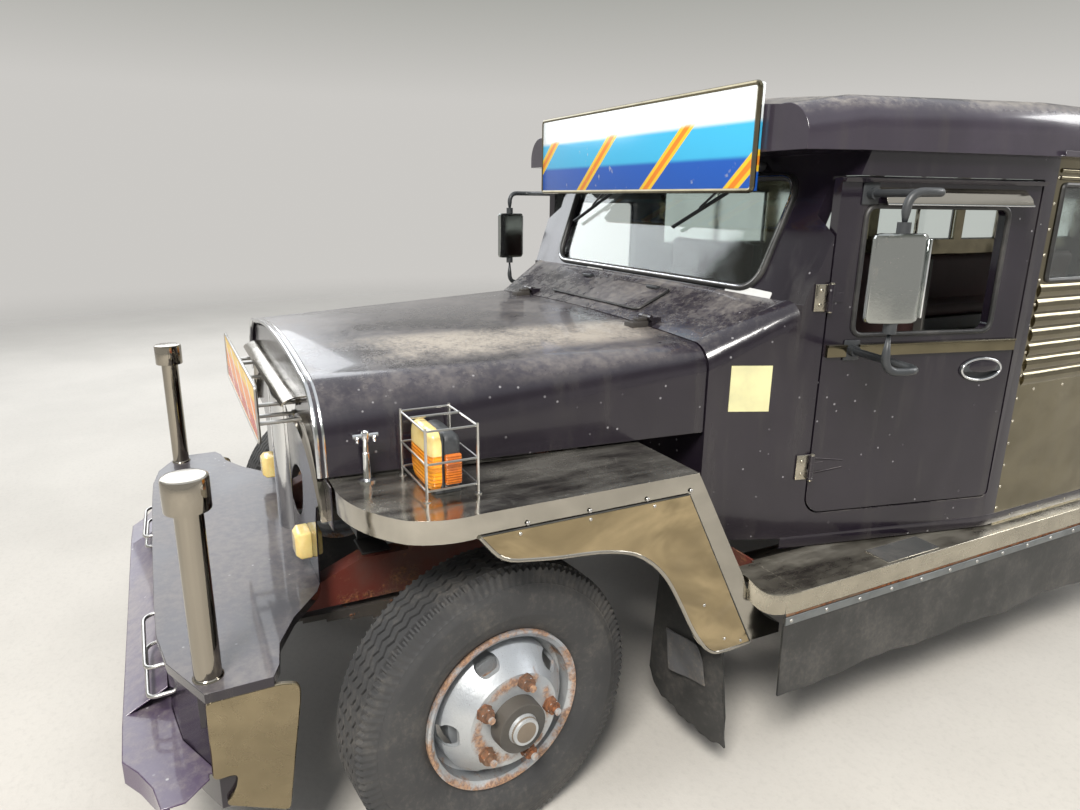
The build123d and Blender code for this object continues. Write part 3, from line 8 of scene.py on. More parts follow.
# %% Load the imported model
import json
import math
import bmesh
import bpy
import numpy as np
from mathutils import Matrix, Vector

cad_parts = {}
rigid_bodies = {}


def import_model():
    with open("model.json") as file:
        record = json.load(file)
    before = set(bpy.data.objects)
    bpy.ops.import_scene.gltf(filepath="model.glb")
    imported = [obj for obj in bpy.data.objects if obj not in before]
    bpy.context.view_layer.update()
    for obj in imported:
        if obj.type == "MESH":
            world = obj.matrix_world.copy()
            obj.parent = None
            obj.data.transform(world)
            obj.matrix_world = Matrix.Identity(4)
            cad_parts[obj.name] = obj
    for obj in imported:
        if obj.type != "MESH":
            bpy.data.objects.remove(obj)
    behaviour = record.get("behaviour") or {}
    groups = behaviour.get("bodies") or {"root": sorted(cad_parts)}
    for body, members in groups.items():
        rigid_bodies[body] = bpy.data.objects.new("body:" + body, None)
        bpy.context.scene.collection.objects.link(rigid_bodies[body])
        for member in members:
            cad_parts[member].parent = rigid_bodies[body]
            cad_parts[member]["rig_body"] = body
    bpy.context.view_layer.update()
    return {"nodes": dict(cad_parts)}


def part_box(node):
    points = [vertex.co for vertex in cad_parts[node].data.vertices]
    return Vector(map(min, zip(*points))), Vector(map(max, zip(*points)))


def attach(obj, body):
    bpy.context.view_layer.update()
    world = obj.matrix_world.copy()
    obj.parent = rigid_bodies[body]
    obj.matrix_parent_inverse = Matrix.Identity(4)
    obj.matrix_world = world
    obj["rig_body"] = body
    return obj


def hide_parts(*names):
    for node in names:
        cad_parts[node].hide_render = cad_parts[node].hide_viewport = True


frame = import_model()
beam_low, beam_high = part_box("front_axle_beam")
AXLE_Y = (beam_low.y + beam_high.y) / 2
SIDES = ((1, "left"), (-1, "right"))
print("front axle at y", round(AXLE_Y, 4))

# %% [markdown]
# The camera stands where the photographer stood, at eye height out from the front wheel, and looks back
# along the cab.
# Its place and angles were solved from the sizes of wheels, doors and fenders. The turn from a level camera
# that looks along +y is made of three turns: about the upright, then down, then about the line of sight.

# %% Camera
CAMERA_PLACE = (2.342, -0.630, 1.625)
CAMERA_YAW = 62.82
CAMERA_DOWN = 15.457
CAMERA_ROLL = -0.802
PICTURE_WIDE = 1080
FOCAL_PIXELS = 740.8
SENSOR_WIDE = 36.0


def placed(name, data):
    """A new object in the scene."""
    piece = bpy.data.objects.new(name, data)
    bpy.context.scene.collection.objects.link(piece)
    return piece


camera = placed("camera", bpy.data.cameras.new("camera"))
bpy.context.scene.camera = camera
camera.data.sensor_width = SENSOR_WIDE
camera.data.lens = FOCAL_PIXELS / PICTURE_WIDE * SENSOR_WIDE
camera.location = (CAMERA_PLACE[0], CAMERA_PLACE[1] + AXLE_Y, CAMERA_PLACE[2])
yaw, down, roll = (math.radians(turn) for turn in (CAMERA_YAW, CAMERA_DOWN, CAMERA_ROLL))
ahead = np.array([-math.sin(yaw) * math.cos(down), math.cos(yaw) * math.cos(down), -math.sin(down)])
level_right = np.array([math.cos(yaw), math.sin(yaw), 0.0])
level_down = np.cross(ahead, level_right)
right = math.cos(roll) * level_right + math.sin(roll) * level_down
downward = -math.sin(roll) * level_right + math.cos(roll) * level_down
camera.rotation_mode = "QUATERNION"
turned_axes = Matrix([[right[i], -downward[i], -ahead[i]] for i in range(3)])
camera.rotation_quaternion = turned_axes.to_quaternion()
print("lens", round(camera.data.lens, 2), "mm")

# %% [markdown]
# Every new surface is a lattice of points: two parameters, one along and one across, worked out as whole
# arrays. A shape here is a pair, its points and its faces, so that shapes can be mirrored and joined before
# they become one Blender mesh.

# %% Lattices
def lattice(points, wrap_along=False, wrap_across=False, caps=False):
    """A shape from an array of points (along, across, 3): neighbours are joined by quads.

    wrap_along and wrap_across close the lattice on itself; caps closes the two open ends with flat faces."""
    along, across = points.shape[:2]
    index = np.arange(along * across).reshape(along, across)
    if wrap_along:
        index = np.vstack([index, index[:1]])
    if wrap_across:
        index = np.hstack([index, index[:, :1]])
    quads = np.stack([index[:-1, :-1], index[1:, :-1], index[1:, 1:], index[:-1, 1:]], axis=-1).reshape(-1, 4)
    faces = quads.tolist()
    if caps:
        faces.append(list(range(across)))
        faces.append(list(range((along - 1) * across, along * across))[::-1])
    return points.reshape(-1, 3), faces


def stacked(rings):
    """A closed shape through rings of points that lie one behind another, its two ends flat."""
    return lattice(np.stack(rings), wrap_across=True, caps=True)


def joined(*shapes):
    """One shape from several: their points one after another, each face's numbers raised to match."""
    starts = np.cumsum([0] + [len(shape[0]) for shape in shapes])
    faces = [[i + int(start) for i in face] for shape, start in zip(shapes, starts) for face in shape[1]]
    return np.vstack([shape[0] for shape in shapes]), faces


def mirrored(shape):
    """The shape on the vehicle's other side: x changes sign, and faces run the other way round."""
    points, faces = shape
    return points * (-1, 1, 1), [face[::-1] for face in faces]


def both(shape):
    """A shape and its mirror image as one shape."""
    return joined(shape, mirrored(shape))


# %% Paths and profiles
def unit(vectors):
    """Vectors divided by their lengths."""
    vectors = np.asarray(vectors, float)
    return vectors / np.maximum(np.linalg.norm(vectors, axis=-1, keepdims=True), 1e-12)


def arc(start, through, end, count):
    """Points on the circle through three points of a plane, from start to end.

    The centre solves |p - centre| equal for all three; the angle runs evenly from start to end."""
    a, b, c = (np.asarray(p, float) for p in (start, through, end))
    rows = 2 * np.array([b - a, c - a])
    centre = np.linalg.solve(rows, np.array([b @ b - a @ a, c @ c - a @ a]))
    angles = [math.atan2(*(p - centre)[::-1]) for p in (a, b, c)]
    swing = (angles[2] - angles[0]) % math.tau
    if (angles[1] - angles[0]) % math.tau > swing:
        swing -= math.tau
    turn = angles[0] + swing * np.linspace(0, 1, count)
    return centre + np.linalg.norm(a - centre) * np.stack([np.cos(turn), np.sin(turn)], axis=-1)


def rounded_path(corners, radius, steps=6, closed=False):
    """A path through corners, each corner replaced by a smooth bend that starts radius before it.

    A bend is the curve (1-t)^2 a + 2t(1-t) corner + t^2 b between its two ends a and b."""
    corners = np.asarray(corners, float)
    before = np.roll(corners, 1, axis=0)
    after = np.roll(corners, -1, axis=0)
    reach_in = np.minimum(radius, 0.48 * np.linalg.norm(before - corners, axis=1))[:, None]
    reach_out = np.minimum(radius, 0.48 * np.linalg.norm(after - corners, axis=1))[:, None]
    a = corners + unit(before - corners) * reach_in
    b = corners + unit(after - corners) * reach_out
    t = np.linspace(0, 1, steps)[None, :, None]
    bends = (1 - t) ** 2 * a[:, None] + 2 * t * (1 - t) * corners[:, None] + t ** 2 * b[:, None]
    if closed:
        return bends.reshape(-1, corners.shape[1])
    return np.vstack([corners[:1], bends[1:-1].reshape(-1, corners.shape[1]), corners[-1:]])


def frame_line(low, high, radius, steps=6):
    """A closed line round the rectangle between two corners (a, b), with its own corners rounded."""
    (a, b), (c, d) = low, high
    return rounded_path([(a, b), (c, b), (c, d), (a, d)], radius, steps, True)


def path_axes(path, up, closed=False):
    """For each point of a path its direction, and two axes across it, the second as near up as can be."""
    ahead_points = np.roll(path, -1, axis=0) - np.roll(path, 1, axis=0)
    if not closed:
        ahead_points[0] = path[1] - path[0]
        ahead_points[-1] = path[-1] - path[-2]
    direction = unit(ahead_points)
    side = unit(np.cross(direction, np.broadcast_to(np.asarray(up, float), path.shape)))
    return direction, side, np.cross(side, direction)


def carried(profile, path, up=(0, 0, 1), closed=False, loop=True):
    """A profile of (side, up) points carried along a path; loop says that the profile closes on itself."""
    path = np.asarray(path, float)
    profile = np.asarray(profile, float)
    _, side, top = path_axes(path, up, closed)
    points = path[:, None] + profile[None, :, :1] * side[:, None] + profile[None, :, 1:] * top[:, None]
    return lattice(points, wrap_along=closed, wrap_across=loop, caps=loop and not closed)


def tube(path, radius, sides=10, up=(0, 0, 1), closed=False):
    """A round bar along a path."""
    turn = np.linspace(0, math.tau, sides, endpoint=False)
    return carried(radius * np.stack([np.cos(turn), np.sin(turn)], axis=-1), path, up, closed)


def turned(profile, centre, axis, steps=48, loop=False):
    """A profile of (along, radius) points turned about an axis through centre.

    A point is centre + along * axis + radius * (cos a * one + sin a * other), a going once round."""
    axis = unit(axis)
    helper = (0, 0, 1) if abs(axis[2]) < 0.9 else (1, 0, 0)
    one = unit(np.cross(helper, axis))
    other = np.cross(axis, one)
    turn = np.linspace(0, math.tau, steps, endpoint=False)
    ring = np.cos(turn)[:, None] * one + np.sin(turn)[:, None] * other
    profile = np.asarray(profile, float)
    points = (np.asarray(centre, float) + profile[None, :, :1] * axis + profile[None, :, 1:] * ring[:, None])
    points = points.transpose(1, 0, 2)
    return lattice(points, wrap_along=loop, wrap_across=True, caps=not loop)


def soft_box(low, high, radius, steps=4):
    """A box with round edges: ball directions d, placed at the corner centres plus radius times d.

    No direction lies on a middle plane, so the quads between the octants are the box's flat sides."""
    low, high = np.asarray(low, float), np.asarray(high, float)
    centre, half = (low + high) / 2, (high - low) / 2 - radius
    around = (np.arange(4 * steps) + 0.5) * math.tau / (4 * steps)
    rise = (np.arange(2 * steps) + 0.5) * math.pi / (2 * steps) - math.pi / 2
    d = np.stack([np.cos(rise)[:, None] * np.cos(around), np.cos(rise)[:, None] * np.sin(around),
                  np.broadcast_to(np.sin(rise)[:, None], (2 * steps, 4 * steps))], axis=-1)
    return lattice(centre + np.sign(d) * half + radius * d, wrap_across=True, caps=True)


def plate(outline, place, thick):
    """A flat plate: (a, b) points put into space by place(a, b, depth), from depth 0 to thick."""
    outline = np.asarray(outline, float)
    front = place(outline[:, 0], outline[:, 1], 0.0)
    back = place(outline[:, 0], outline[:, 1], thick)
    return stacked([front, back])


def at_x(line, x):
    """Puts (y, z) points at one x."""
    return np.column_stack([np.full(len(line), x), line])


def at_y(line, y):
    """Puts (x, z) points at one y."""
    return np.column_stack([line[:, 0], np.full(len(line), y), line[:, 1]])


def rim_tube(line, y, radius):
    """A round bar along a closed line of (x, z) points at one y."""
    return tube(at_y(line, y), radius, 8, up=(0, 1, 0), closed=True)


def facing_side(x):
    """Puts (y, z) points at x, depth growing outwards along +x."""
    return lambda a, b, depth: np.stack([np.full_like(a, x) + depth, a, b], axis=-1)


def facing_front(y):
    """Puts (x, z) points at y, depth growing forwards along -y."""
    return lambda a, b, depth: np.stack([a, np.full_like(a, y) - depth, b], axis=-1)


# %% Pieces
def recalculate(mesh):
    """Merges points that coincide, then turns every face of a closed mesh outwards."""
    work = bmesh.new()
    work.from_mesh(mesh)
    bmesh.ops.remove_doubles(work, verts=work.verts, dist=1e-6)
    bmesh.ops.recalc_face_normals(work, faces=work.faces)
    work.to_mesh(mesh)
    work.free()


def smooth_by_angle(mesh, degrees):
    """Smooth shading, with edges sharper than the angle kept hard."""
    work = bmesh.new()
    work.from_mesh(mesh)
    limit = math.radians(degrees)
    for edge in work.edges:
        edge.smooth = edge.is_boundary or edge.calc_face_angle(0.0) < limit
    for face in work.faces:
        face.smooth = True
    work.to_mesh(mesh)
    work.free()


def dress(name, shape, material, stands_for=(), body="body", hard=35, bevel=0.0):
    """One finished piece: the mesh, its material, the body it rides on and the nodes it stands for."""
    points, faces = shape
    mesh = bpy.data.meshes.new(name)
    mesh.from_pydata((points + (0, AXLE_Y, 0)).tolist(), [], faces)
    recalculate(mesh)
    smooth_by_angle(mesh, hard)
    piece = placed(name, mesh)
    mesh.materials.append(material)
    if bevel:
        add_bevel(piece, bevel)
    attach(piece, body)
    if stands_for:
        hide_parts(*stands_for)


# Flats that meet at more than this many degrees get a rounded edge
BEVEL_FROM = 35


def add_bevel(piece, width):
    """A small round edge wherever two flats meet."""
    rounder = piece.modifiers.new("round_edges", "BEVEL")
    rounder.width = width
    rounder.segments = 2
    rounder.limit_method = "ANGLE"
    rounder.angle_limit = math.radians(BEVEL_FROM)
    rounder.use_clamp_overlap = True
    rounder.harden_normals = False


def node_shape(node):
    """A CAD node's mesh as a new mesh: doubles merged and flat triangles joined into their whole faces."""
    mesh = frame["nodes"][node].data.copy()
    work = bmesh.new()
    work.from_mesh(mesh)
    bmesh.ops.remove_doubles(work, verts=work.verts, dist=1e-5)
    bmesh.ops.dissolve_limit(work, angle_limit=math.radians(0.4), verts=work.verts, edges=work.edges)
    work.to_mesh(mesh)
    work.free()
    mesh.materials.clear()
    return mesh


def refine(node, material, bevel=0.0015, hard=30):
    """The node's own form with its edges rounded and its curves shaded smooth, in a new finish."""
    mesh = node_shape(node)
    smooth_by_angle(mesh, hard)
    piece = placed(node + "_finished", mesh)
    mesh.materials.append(material)
    if bevel:
        add_bevel(piece, bevel)
    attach(piece, frame["nodes"][node]["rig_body"])
    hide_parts(node)
    return piece


def vectors(items, name):
    """One vector of each item of a mesh, such as its points' co or its faces' center, as an array."""
    found = np.empty(len(items) * 3)
    items.foreach_get(name, found)
    return found.reshape(-1, 3)


def retouch(piece, *rules):
    """Gives some faces of a piece another material; a rule is (material, test of the faces' middles)."""
    faces = piece.data.polygons
    middles = vectors(faces, "center") - (0, AXLE_Y, 0)
    slots = np.zeros(len(faces), int)
    for number, (material, test) in enumerate(rules, start=1):
        piece.data.materials.append(material)
        slots[test(middles)] = number
    faces.foreach_set("material_index", slots)


# %% [markdown]
# A finish is a short sum of masks: dust where the surface faces up, rust in patches and near edges, scratches
# along one direction. Each mask is a number between 0 and 1 that varies over the surface. The class below
# lets such a sum be written as ordinary maths: an expression on values adds its Math nodes.

# %% Shader values
class Value:
    """A number inside a material. Maths written on it adds Math nodes."""

    def __init__(self, finish, socket):
        self.finish = finish
        self.socket = socket

    def math(self, operation, other=0.0, swapped=False):
        """One Math node on this value and another; swapped puts the other first."""
        first, second = (other, self) if swapped else (self, other)
        return self.finish.node("ShaderNodeMath", {0: first, 1: second}, operation=operation, use_clamp=False)

    def __abs__(self):
        return self.math("ABSOLUTE")

    def above(self, low, high):
        """0 below low, 1 above high, smooth between; with low above high it runs the other way."""
        return self.finish.node("ShaderNodeMapRange", {0: self, 1: low, 2: high, 3: 0.0, 4: 1.0},
                                interpolation_type="SMOOTHSTEP")

    def sine(self):
        """The sine of this value in radians."""
        return self.math("SINE")

    def at_least(self, other):
        """The greater of this value and another."""
        return self.math("MAXIMUM", other)


def operator(kind, swapped=False):
    """What Python's operator does between a value and another: one Math node of this kind."""
    return lambda value, other: value.math(kind, other, swapped)


Value.__add__, Value.__radd__ = operator("ADD"), operator("ADD", True)
Value.__sub__, Value.__rsub__ = operator("SUBTRACT"), operator("SUBTRACT", True)
Value.__mul__, Value.__rmul__ = operator("MULTIPLY"), operator("MULTIPLY", True)
Value.__truediv__, Value.__pow__ = operator("DIVIDE"), operator("POWER")


class Finish:
    """A material being written: its node tree and the Principled shader that ends it."""

    def __init__(self, name):
        self.material = bpy.data.materials.new(name)
        self.material.use_nodes = True
        self.tree = self.material.node_tree
        self.shader = self.tree.nodes["Principled BSDF"]
        self.place = self.node("ShaderNodeTexCoord", output="Object")
        parts = (self.node("ShaderNodeSeparateXYZ", {0: self.place}, output=i) for i in range(3))
        self.x, self.y, self.z = parts
        facing = self.node("ShaderNodeTexCoord", output="Normal")
        self.up = self.node("ShaderNodeSeparateXYZ", {0: facing}, output=2)

    def node(self, kind, inputs=None, output=0, **settings):
        """Adds a node: its settings first, then the values or links of its sockets; gives one output."""
        made = self.tree.nodes.new(kind)
        for name, value in settings.items():
            setattr(made, name, value)
        for key, value in (inputs or {}).items():
            if isinstance(value, Value):
                self.tree.links.new(value.socket, made.inputs[key])
            else:
                made.inputs[key].default_value = value
        return Value(self, made.outputs[output])

    def noise(self, scale, detail=4.0, rough=0.55, stretch=(1, 1, 1), twist=0.0, offset=(0, 0, 0)):
        """Cloudy noise between about 0.25 and 0.75; stretch divides its frequency along each axis."""
        moved = self.node("ShaderNodeMapping", {0: self.place, 1: offset, 3: tuple(1 / s for s in stretch)})
        return self.node("ShaderNodeTexNoise", {"Vector": moved, "Scale": scale, "Detail": detail,
                                                "Roughness": rough, "Distortion": twist})

    def specks(self, scale, size, offset=(0, 0, 0)):
        """Small round spots: 1 inside them, from the distance to the nearest of many scattered points."""
        moved = self.node("ShaderNodeMapping", {0: self.place, 1: offset})
        distance = self.node("ShaderNodeTexVoronoi", {"Vector": moved, "Scale": scale})
        return distance.above(size, size * 0.5)

    def mix(self, share, first, second):
        """A colour between two: first where share is 0, second where it is 1."""
        first, second = (c if isinstance(c, Value) else (*c, 1.0) for c in (first, second))
        return self.node("ShaderNodeMix", {0: share, 6: first, 7: second}, output=2, data_type="RGBA")

    def bump(self, height, depth, under=None):
        """A normal tilted by a height in metres times depth; under is a bump it lies on."""
        inputs = {"Height": height, "Distance": depth, "Strength": 1.0}
        if under is not None:
            inputs["Normal"] = under
        return self.node("ShaderNodeBump", inputs)

    def end(self, colour=None, roughness=None, metallic=None, normal=None, **fixed):
        """Links what varies into the shader, sets what doesn't, and gives the material."""
        for name, value in (("Base Color", colour), ("Roughness", roughness), ("Metallic", metallic),
                            ("Normal", normal)):
            if isinstance(value, Value):
                self.tree.links.new(value.socket, self.shader.inputs[name])
            elif value is not None:
                self.shader.inputs[name].default_value = (*value, 1.0) if isinstance(value, tuple) else value
        for name, value in fixed.items():
            self.shader.inputs[name.replace("_", " ")].default_value = value
        return self.material


# %% [markdown]
# Body paint: an almost black aubergine gloss, hand sprayed over filler. What faces up is a paler grey, partly
# paint that the sun has chalked and partly painted sheen of the sky; rain has left dust there, and stone chips
# show as pale dots low on the sides. All of it is one recipe with a few shares, so that panels differ a little
# in age.

# %% Paint finishes
AUBERGINE = (0.011, 0.008, 0.013)
# Paler grey for what faces up: partly chalked paint, partly painted sheen of the sky
CHALK_AND_SHEEN_GREY = (0.090, 0.083, 0.098)
DUST = (0.34, 0.31, 0.27)
GRIME = (0.05, 0.045, 0.042)
HOOD_SAND = (0.40, 0.355, 0.30)
STONE_CHIP = (0.36, 0.35, 0.36)
PURPLE = (0.065, 0.040, 0.085)
ROOF_GREY = (0.033, 0.027, 0.038)


def body_paint(name, base=AUBERGINE, chalk_sheen_share=0.6, dust=0.5, chips=0.6, sand=False, dull=0.0):
    """The body's gloss paint: a paler grey and dust grow with how far the surface faces up. The grey is partly
    chalked paint and partly painted sheen of the sky.

    The shares after base are those of that grey, of dust and of chips; sand adds the hood's pale patch over its
    left shoulder, and dull is roughness added to what faces up."""
    f = Finish(name)
    level = f.up.above(0.45, 0.98)
    cloud = f.noise(3.1, detail=6.0, rough=0.62)
    fine = f.noise(38.0, detail=5.0, rough=0.7)
    streaks = f.noise(14.0, detail=4.0, stretch=(1.0, 1.0, 7.0))
    tone = f.mix(cloud.above(0.35, 0.7) * 0.55, base, tuple(1.55 * c + 0.004 for c in base))
    grime = streaks.above(0.5, 0.72) * (1 - level) * 0.35
    colour = f.mix(grime, tone, GRIME)
    # What faces up turns paler grey: partly chalked paint, partly painted sheen of the sky
    chalk_and_sheen = level * (0.30 + 0.55 * cloud.above(0.3, 0.65)) * chalk_sheen_share
    colour = f.mix(chalk_and_sheen, colour, CHALK_AND_SHEEN_GREY)
    dusty = level * (fine * 0.6 + cloud * 0.7).above(0.52, 0.86) * dust
    if sand:
        along = f.y - AXLE_Y
        across = (f.x - 0.43 + 0.10 * (0.6 - along)) / 0.15
        patch = (1 - across * across).above(-0.5, 0.9) * along.above(-0.34, -0.05)
        grain = f.noise(70.0, detail=9.0, rough=0.85)
        sandy = patch * (0.12 + 0.88 * (cloud * 0.9 + grain * 0.8).above(0.70, 0.98))
        dusty = dusty.at_least(sandy * level.above(0.05, 0.5))
    colour = f.mix(dusty, colour, HOOD_SAND if sand else DUST)
    dots = f.specks(26.0, 0.11) * f.noise(6.0, detail=2.0, offset=(3, 1, 2)).above(0.48, 0.6) * chips
    colour = f.mix(dots, colour, STONE_CHIP)
    rough = 0.10 + 0.14 * cloud + 0.26 * chalk_and_sheen + 0.35 * dusty + 0.2 * grime + dull * level
    waves = f.noise(2.2, detail=2.0)
    normal = f.bump(waves, 0.006, f.bump(fine * dusty, 0.0015))
    return f.end(colour, rough, normal=normal, Coat_Weight=0.3, Coat_Roughness=0.06)


paint_body = body_paint("aubergine_body_paint")
paint_gloss = body_paint("aubergine_handle_paint", chalk_sheen_share=0.0, dust=0.1, chips=0.0)
paint_hood = body_paint("aubergine_hood_paint", chalk_sheen_share=0.75, dust=0.30, sand=True)
paint_bumper = body_paint("aubergine_bumper_paint", chalk_sheen_share=0.75, dust=0.30, chips=0.9, dull=0.22)
paint_apron = body_paint("purple_apron_paint", PURPLE, chalk_sheen_share=0.5, dust=0.45, chips=1.0, dull=0.15)
paint_roof = body_paint("roof_paint", ROOF_GREY, chalk_sheen_share=0.8, dust=0.9, chips=0.0)
RUST_DARK = (0.085, 0.030, 0.012)
RUST_BRIGHT = (0.30, 0.105, 0.035)
ROAD_DIRT = (0.10, 0.085, 0.068)


def rusty_paint(name, base, rust_share, rough=0.55):
    """Old chassis paint: rust comes through in clouds, and dirt lies on top."""
    f = Finish(name)
    cloud = f.noise(7.0, detail=8.0, rough=0.68)
    grain = f.noise(90.0, detail=4.0, rough=0.7)
    rusted = (cloud + 0.25 * grain).above(0.86 - 0.4 * rust_share, 0.95 - 0.35 * rust_share)
    rust = f.mix(grain.above(0.35, 0.65), RUST_DARK, RUST_BRIGHT)
    colour = f.mix(rusted, base, rust)
    dirt = f.noise(3.0, detail=5.0).above(0.42, 0.7) * 0.6
    colour = f.mix(dirt, colour, ROAD_DIRT)
    roughness = rough + 0.3 * rusted + 0.1 * dirt
    return f.end(colour, roughness, normal=f.bump(grain + 2 * rusted, 0.0008))


paint_rail = rusty_paint("red_oxide_rail", (0.13, 0.022, 0.013), 0.45)
iron_greasy = rusty_paint("greasy_iron", (0.045, 0.040, 0.036), 0.25, rough=0.45)
steel_floor = rusty_paint("floor_plate", (0.11, 0.11, 0.105), 0.25, rough=0.4)
paint_black = rusty_paint("black_underbody_paint", (0.018, 0.018, 0.019), 0.1, rough=0.4)


# %% [markdown]
# Stainless sheet: the fenders, posts, ribs and trim are thin polished steel, dulled by years of wiping. Real
# sheet is never flat, so reflections swim: a long shallow bump does that. Brushing marks stretch along the
# sheet, a film of road dust tones some stretches, and broad dark patches of painted reflection swim in it. The
# tints are painted reflections: what the sheet shows among brown ground and trees, because the studio round it
# is pale.

# %% Sheet steel
SETTLED_GRIME = (0.24, 0.235, 0.225)


def sheet_steel(name, tint, film=0.4, swirl=0.3, wave=0.006, rough=0.09, top_grime=0.6, dark_reflection_share=0.3):
    """Polished stainless sheet: a tint that is painted reflection, darker where the film is and where the
    swimming patches of painted dark reflection are.

    Three arguments are shares: of road film, of wiping marks and of painted dark reflections; wave is the
    sheet's unevenness in metres; top_grime is the share of what settles on surfaces that face up."""
    f = Finish(name)
    cloud = f.noise(4.2, detail=5.0, rough=0.6)
    brushed = f.noise(60.0, detail=3.0, stretch=(1.0, 14.0, 1.0))
    swirls = f.noise(11.0, detail=6.0, rough=0.7, twist=2.2)
    filmy = cloud.above(0.40, 0.66) * film
    colour = f.mix(filmy, tint, tuple(0.62 * c for c in tint))
    # Broad dark patches that swim in the sheet: painted dark reflections
    dark_reflection_patches = f.noise(5.5, detail=3.0, rough=0.5, stretch=(1, 1.8, 1), twist=1.8, offset=(1, 3, 2))
    colour = f.mix(dark_reflection_patches.above(0.32, 0.68) * dark_reflection_share, colour, tuple(0.35 * c for c in tint))
    level = f.up.above(0.6, 0.98)
    drift = f.noise(9.0, detail=8.0, rough=0.68, stretch=(1, 5.0, 1)) * 0.7 + 0.4 * cloud
    settled = level * drift.above(0.40, 0.78) * top_grime
    colour = f.mix(settled, colour, SETTLED_GRIME)
    marks = swirls.above(0.53, 0.60) * swirl
    roughness = rough + 0.09 * brushed + 0.20 * marks + 0.08 * filmy + 0.38 * settled
    metallic = 1 - 0.75 * settled
    waves = f.noise(5.0, detail=2.0, stretch=(1, 1.6, 1))
    normal = f.bump(waves, wave, f.bump(brushed, 0.00012))
    return f.end(colour, roughness, metallic, normal)


# Each tint below is painted reflection of brown ground and trees, not the steel's own colour
steel_fender = sheet_steel("fender_sheet_steel", (0.47, 0.445, 0.39), film=0.3, wave=0.016, top_grime=0.45,
                           dark_reflection_share=0.25)
steel_skirt = sheet_steel("skirt_sheet_steel", (0.50, 0.40, 0.24), film=0.35, wave=0.045, rough=0.05,
                          dark_reflection_share=0.65)
steel_plate = sheet_steel("bumper_plate_steel", (0.32, 0.265, 0.17), film=0.5, swirl=1.0, wave=0.020,
                          rough=0.12, dark_reflection_share=0.2)
steel_rib = sheet_steel("rib_sheet_steel", (0.20, 0.175, 0.115), film=0.3, wave=0.008, dark_reflection_share=0.25)
steel_post = sheet_steel("post_steel", (0.34, 0.31, 0.26), film=0.1, swirl=0.1, wave=0.0015, rough=0.03,
                         dark_reflection_share=0.0)
steel_board = sheet_steel("board_steel", (0.52, 0.48, 0.39), film=0.35, rough=0.20, top_grime=0.6)
galvanised = sheet_steel("galvanised_strip", (0.30, 0.32, 0.33), film=0.6, rough=0.36, wave=0.002)


def bright_metal(name, tint, rough, pits=0.0):
    """Chrome or bare bright metal, with pits of rust where pits is above 0."""
    f = Finish(name)
    cloud = f.noise(16.0, detail=6.0, rough=0.7)
    pitted = f.specks(160.0, 0.22) * cloud.above(0.5, 0.6) * pits
    stained = cloud.above(0.60, 0.72) * pits
    colour = f.mix(pitted.at_least(stained * 0.7), tint, (0.16, 0.085, 0.045))
    roughness = rough + 0.15 * cloud + 0.4 * pitted + 0.3 * stained
    return f.end(colour, roughness, 1 - 0.8 * pitted.at_least(stained * 0.6), f.bump(cloud, 0.0006))


chrome = bright_metal("dulled_chrome", (0.66, 0.67, 0.68), 0.05, pits=0.15)
cage_steel = bright_metal("cage_rod_steel", (0.50, 0.49, 0.47), 0.22, pits=0.8)
nut_rust = rusty_paint("rusted_nut", (0.22, 0.12, 0.065), 0.9, rough=0.6)
hub_iron = rusty_paint("hub_iron", (0.045, 0.044, 0.042), 0.05, rough=0.5)
cap_brown = rusty_paint("grease_cap", (0.20, 0.155, 0.11), 0.35, rough=0.5)


# %% [markdown]
# Wheels are sprayed silver over steel. Rust bleeds out of the rim's edge and from under the nuts, with brake
# dust in specks all over, so the masks here depend on the distance from the hub.

# %% Wheel paint
# Each of the first two is a pair: the colour goes from one to the other
SILVER = ((0.34, 0.36, 0.385), (0.47, 0.48, 0.48))
RIM_RUST = ((0.20, 0.095, 0.045), (0.42, 0.22, 0.10))
BRAKE_DUST = (0.10, 0.07, 0.05)
STUD_CIRCLE = 0.104


def wheel_paint(name, centre, axis_turn):
    """Silver wheel paint; the radius from the hub's axis places rust at the nuts and on the outer edge."""
    f = Finish(name)
    moved = f.node("ShaderNodeMapping", {0: f.place, 1: tuple(-c for c in centre)})
    level = f.node("ShaderNodeVectorRotate", {"Vector": moved, "Angle": -axis_turn}, rotation_type="Z_AXIS")
    side, height = (f.node("ShaderNodeSeparateXYZ", {0: level}, output=i) for i in (1, 2))
    radius = (side * side + height * height) ** 0.5
    cloud = f.noise(11.0, detail=7.0, rough=0.7)
    grain = f.noise(120.0, detail=3.0)
    edge = radius.above(0.183, 0.214) * 0.22
    at_nuts = (1 - abs(radius - STUD_CIRCLE) / 0.030).above(0.0, 1.0) * 0.22
    rusted = (cloud + edge + at_nuts).above(0.60, 0.76)
    rust = f.mix(grain.above(0.4, 0.6), *RIM_RUST)
    colour = f.mix(f.noise(5.0, detail=3.0).above(0.35, 0.65), *SILVER)
    colour = f.mix(rusted * 0.85, colour, rust)
    specks = f.specks(210.0, 0.20) * cloud.above(0.38, 0.6)
    colour = f.mix(specks * 0.75, colour, BRAKE_DUST)
    roughness = 0.33 + 0.4 * rusted + 0.15 * grain
    return f.end(colour, roughness, 0.45 - 0.4 * rusted, f.bump(grain + 1.5 * rusted, 0.0006))


# %% [markdown]
# Rubber, plastic, vinyl and glass. Rubber is greyed by bloom and road dust. Lenses are tinted plastic, some
# with fine ribs. The windows are slightly green, and their dust shows.

# %% Rubber and plastic
RUBBER_BLOOM = (0.062, 0.060, 0.058)
RUBBER_DUST = (0.17, 0.15, 0.125)


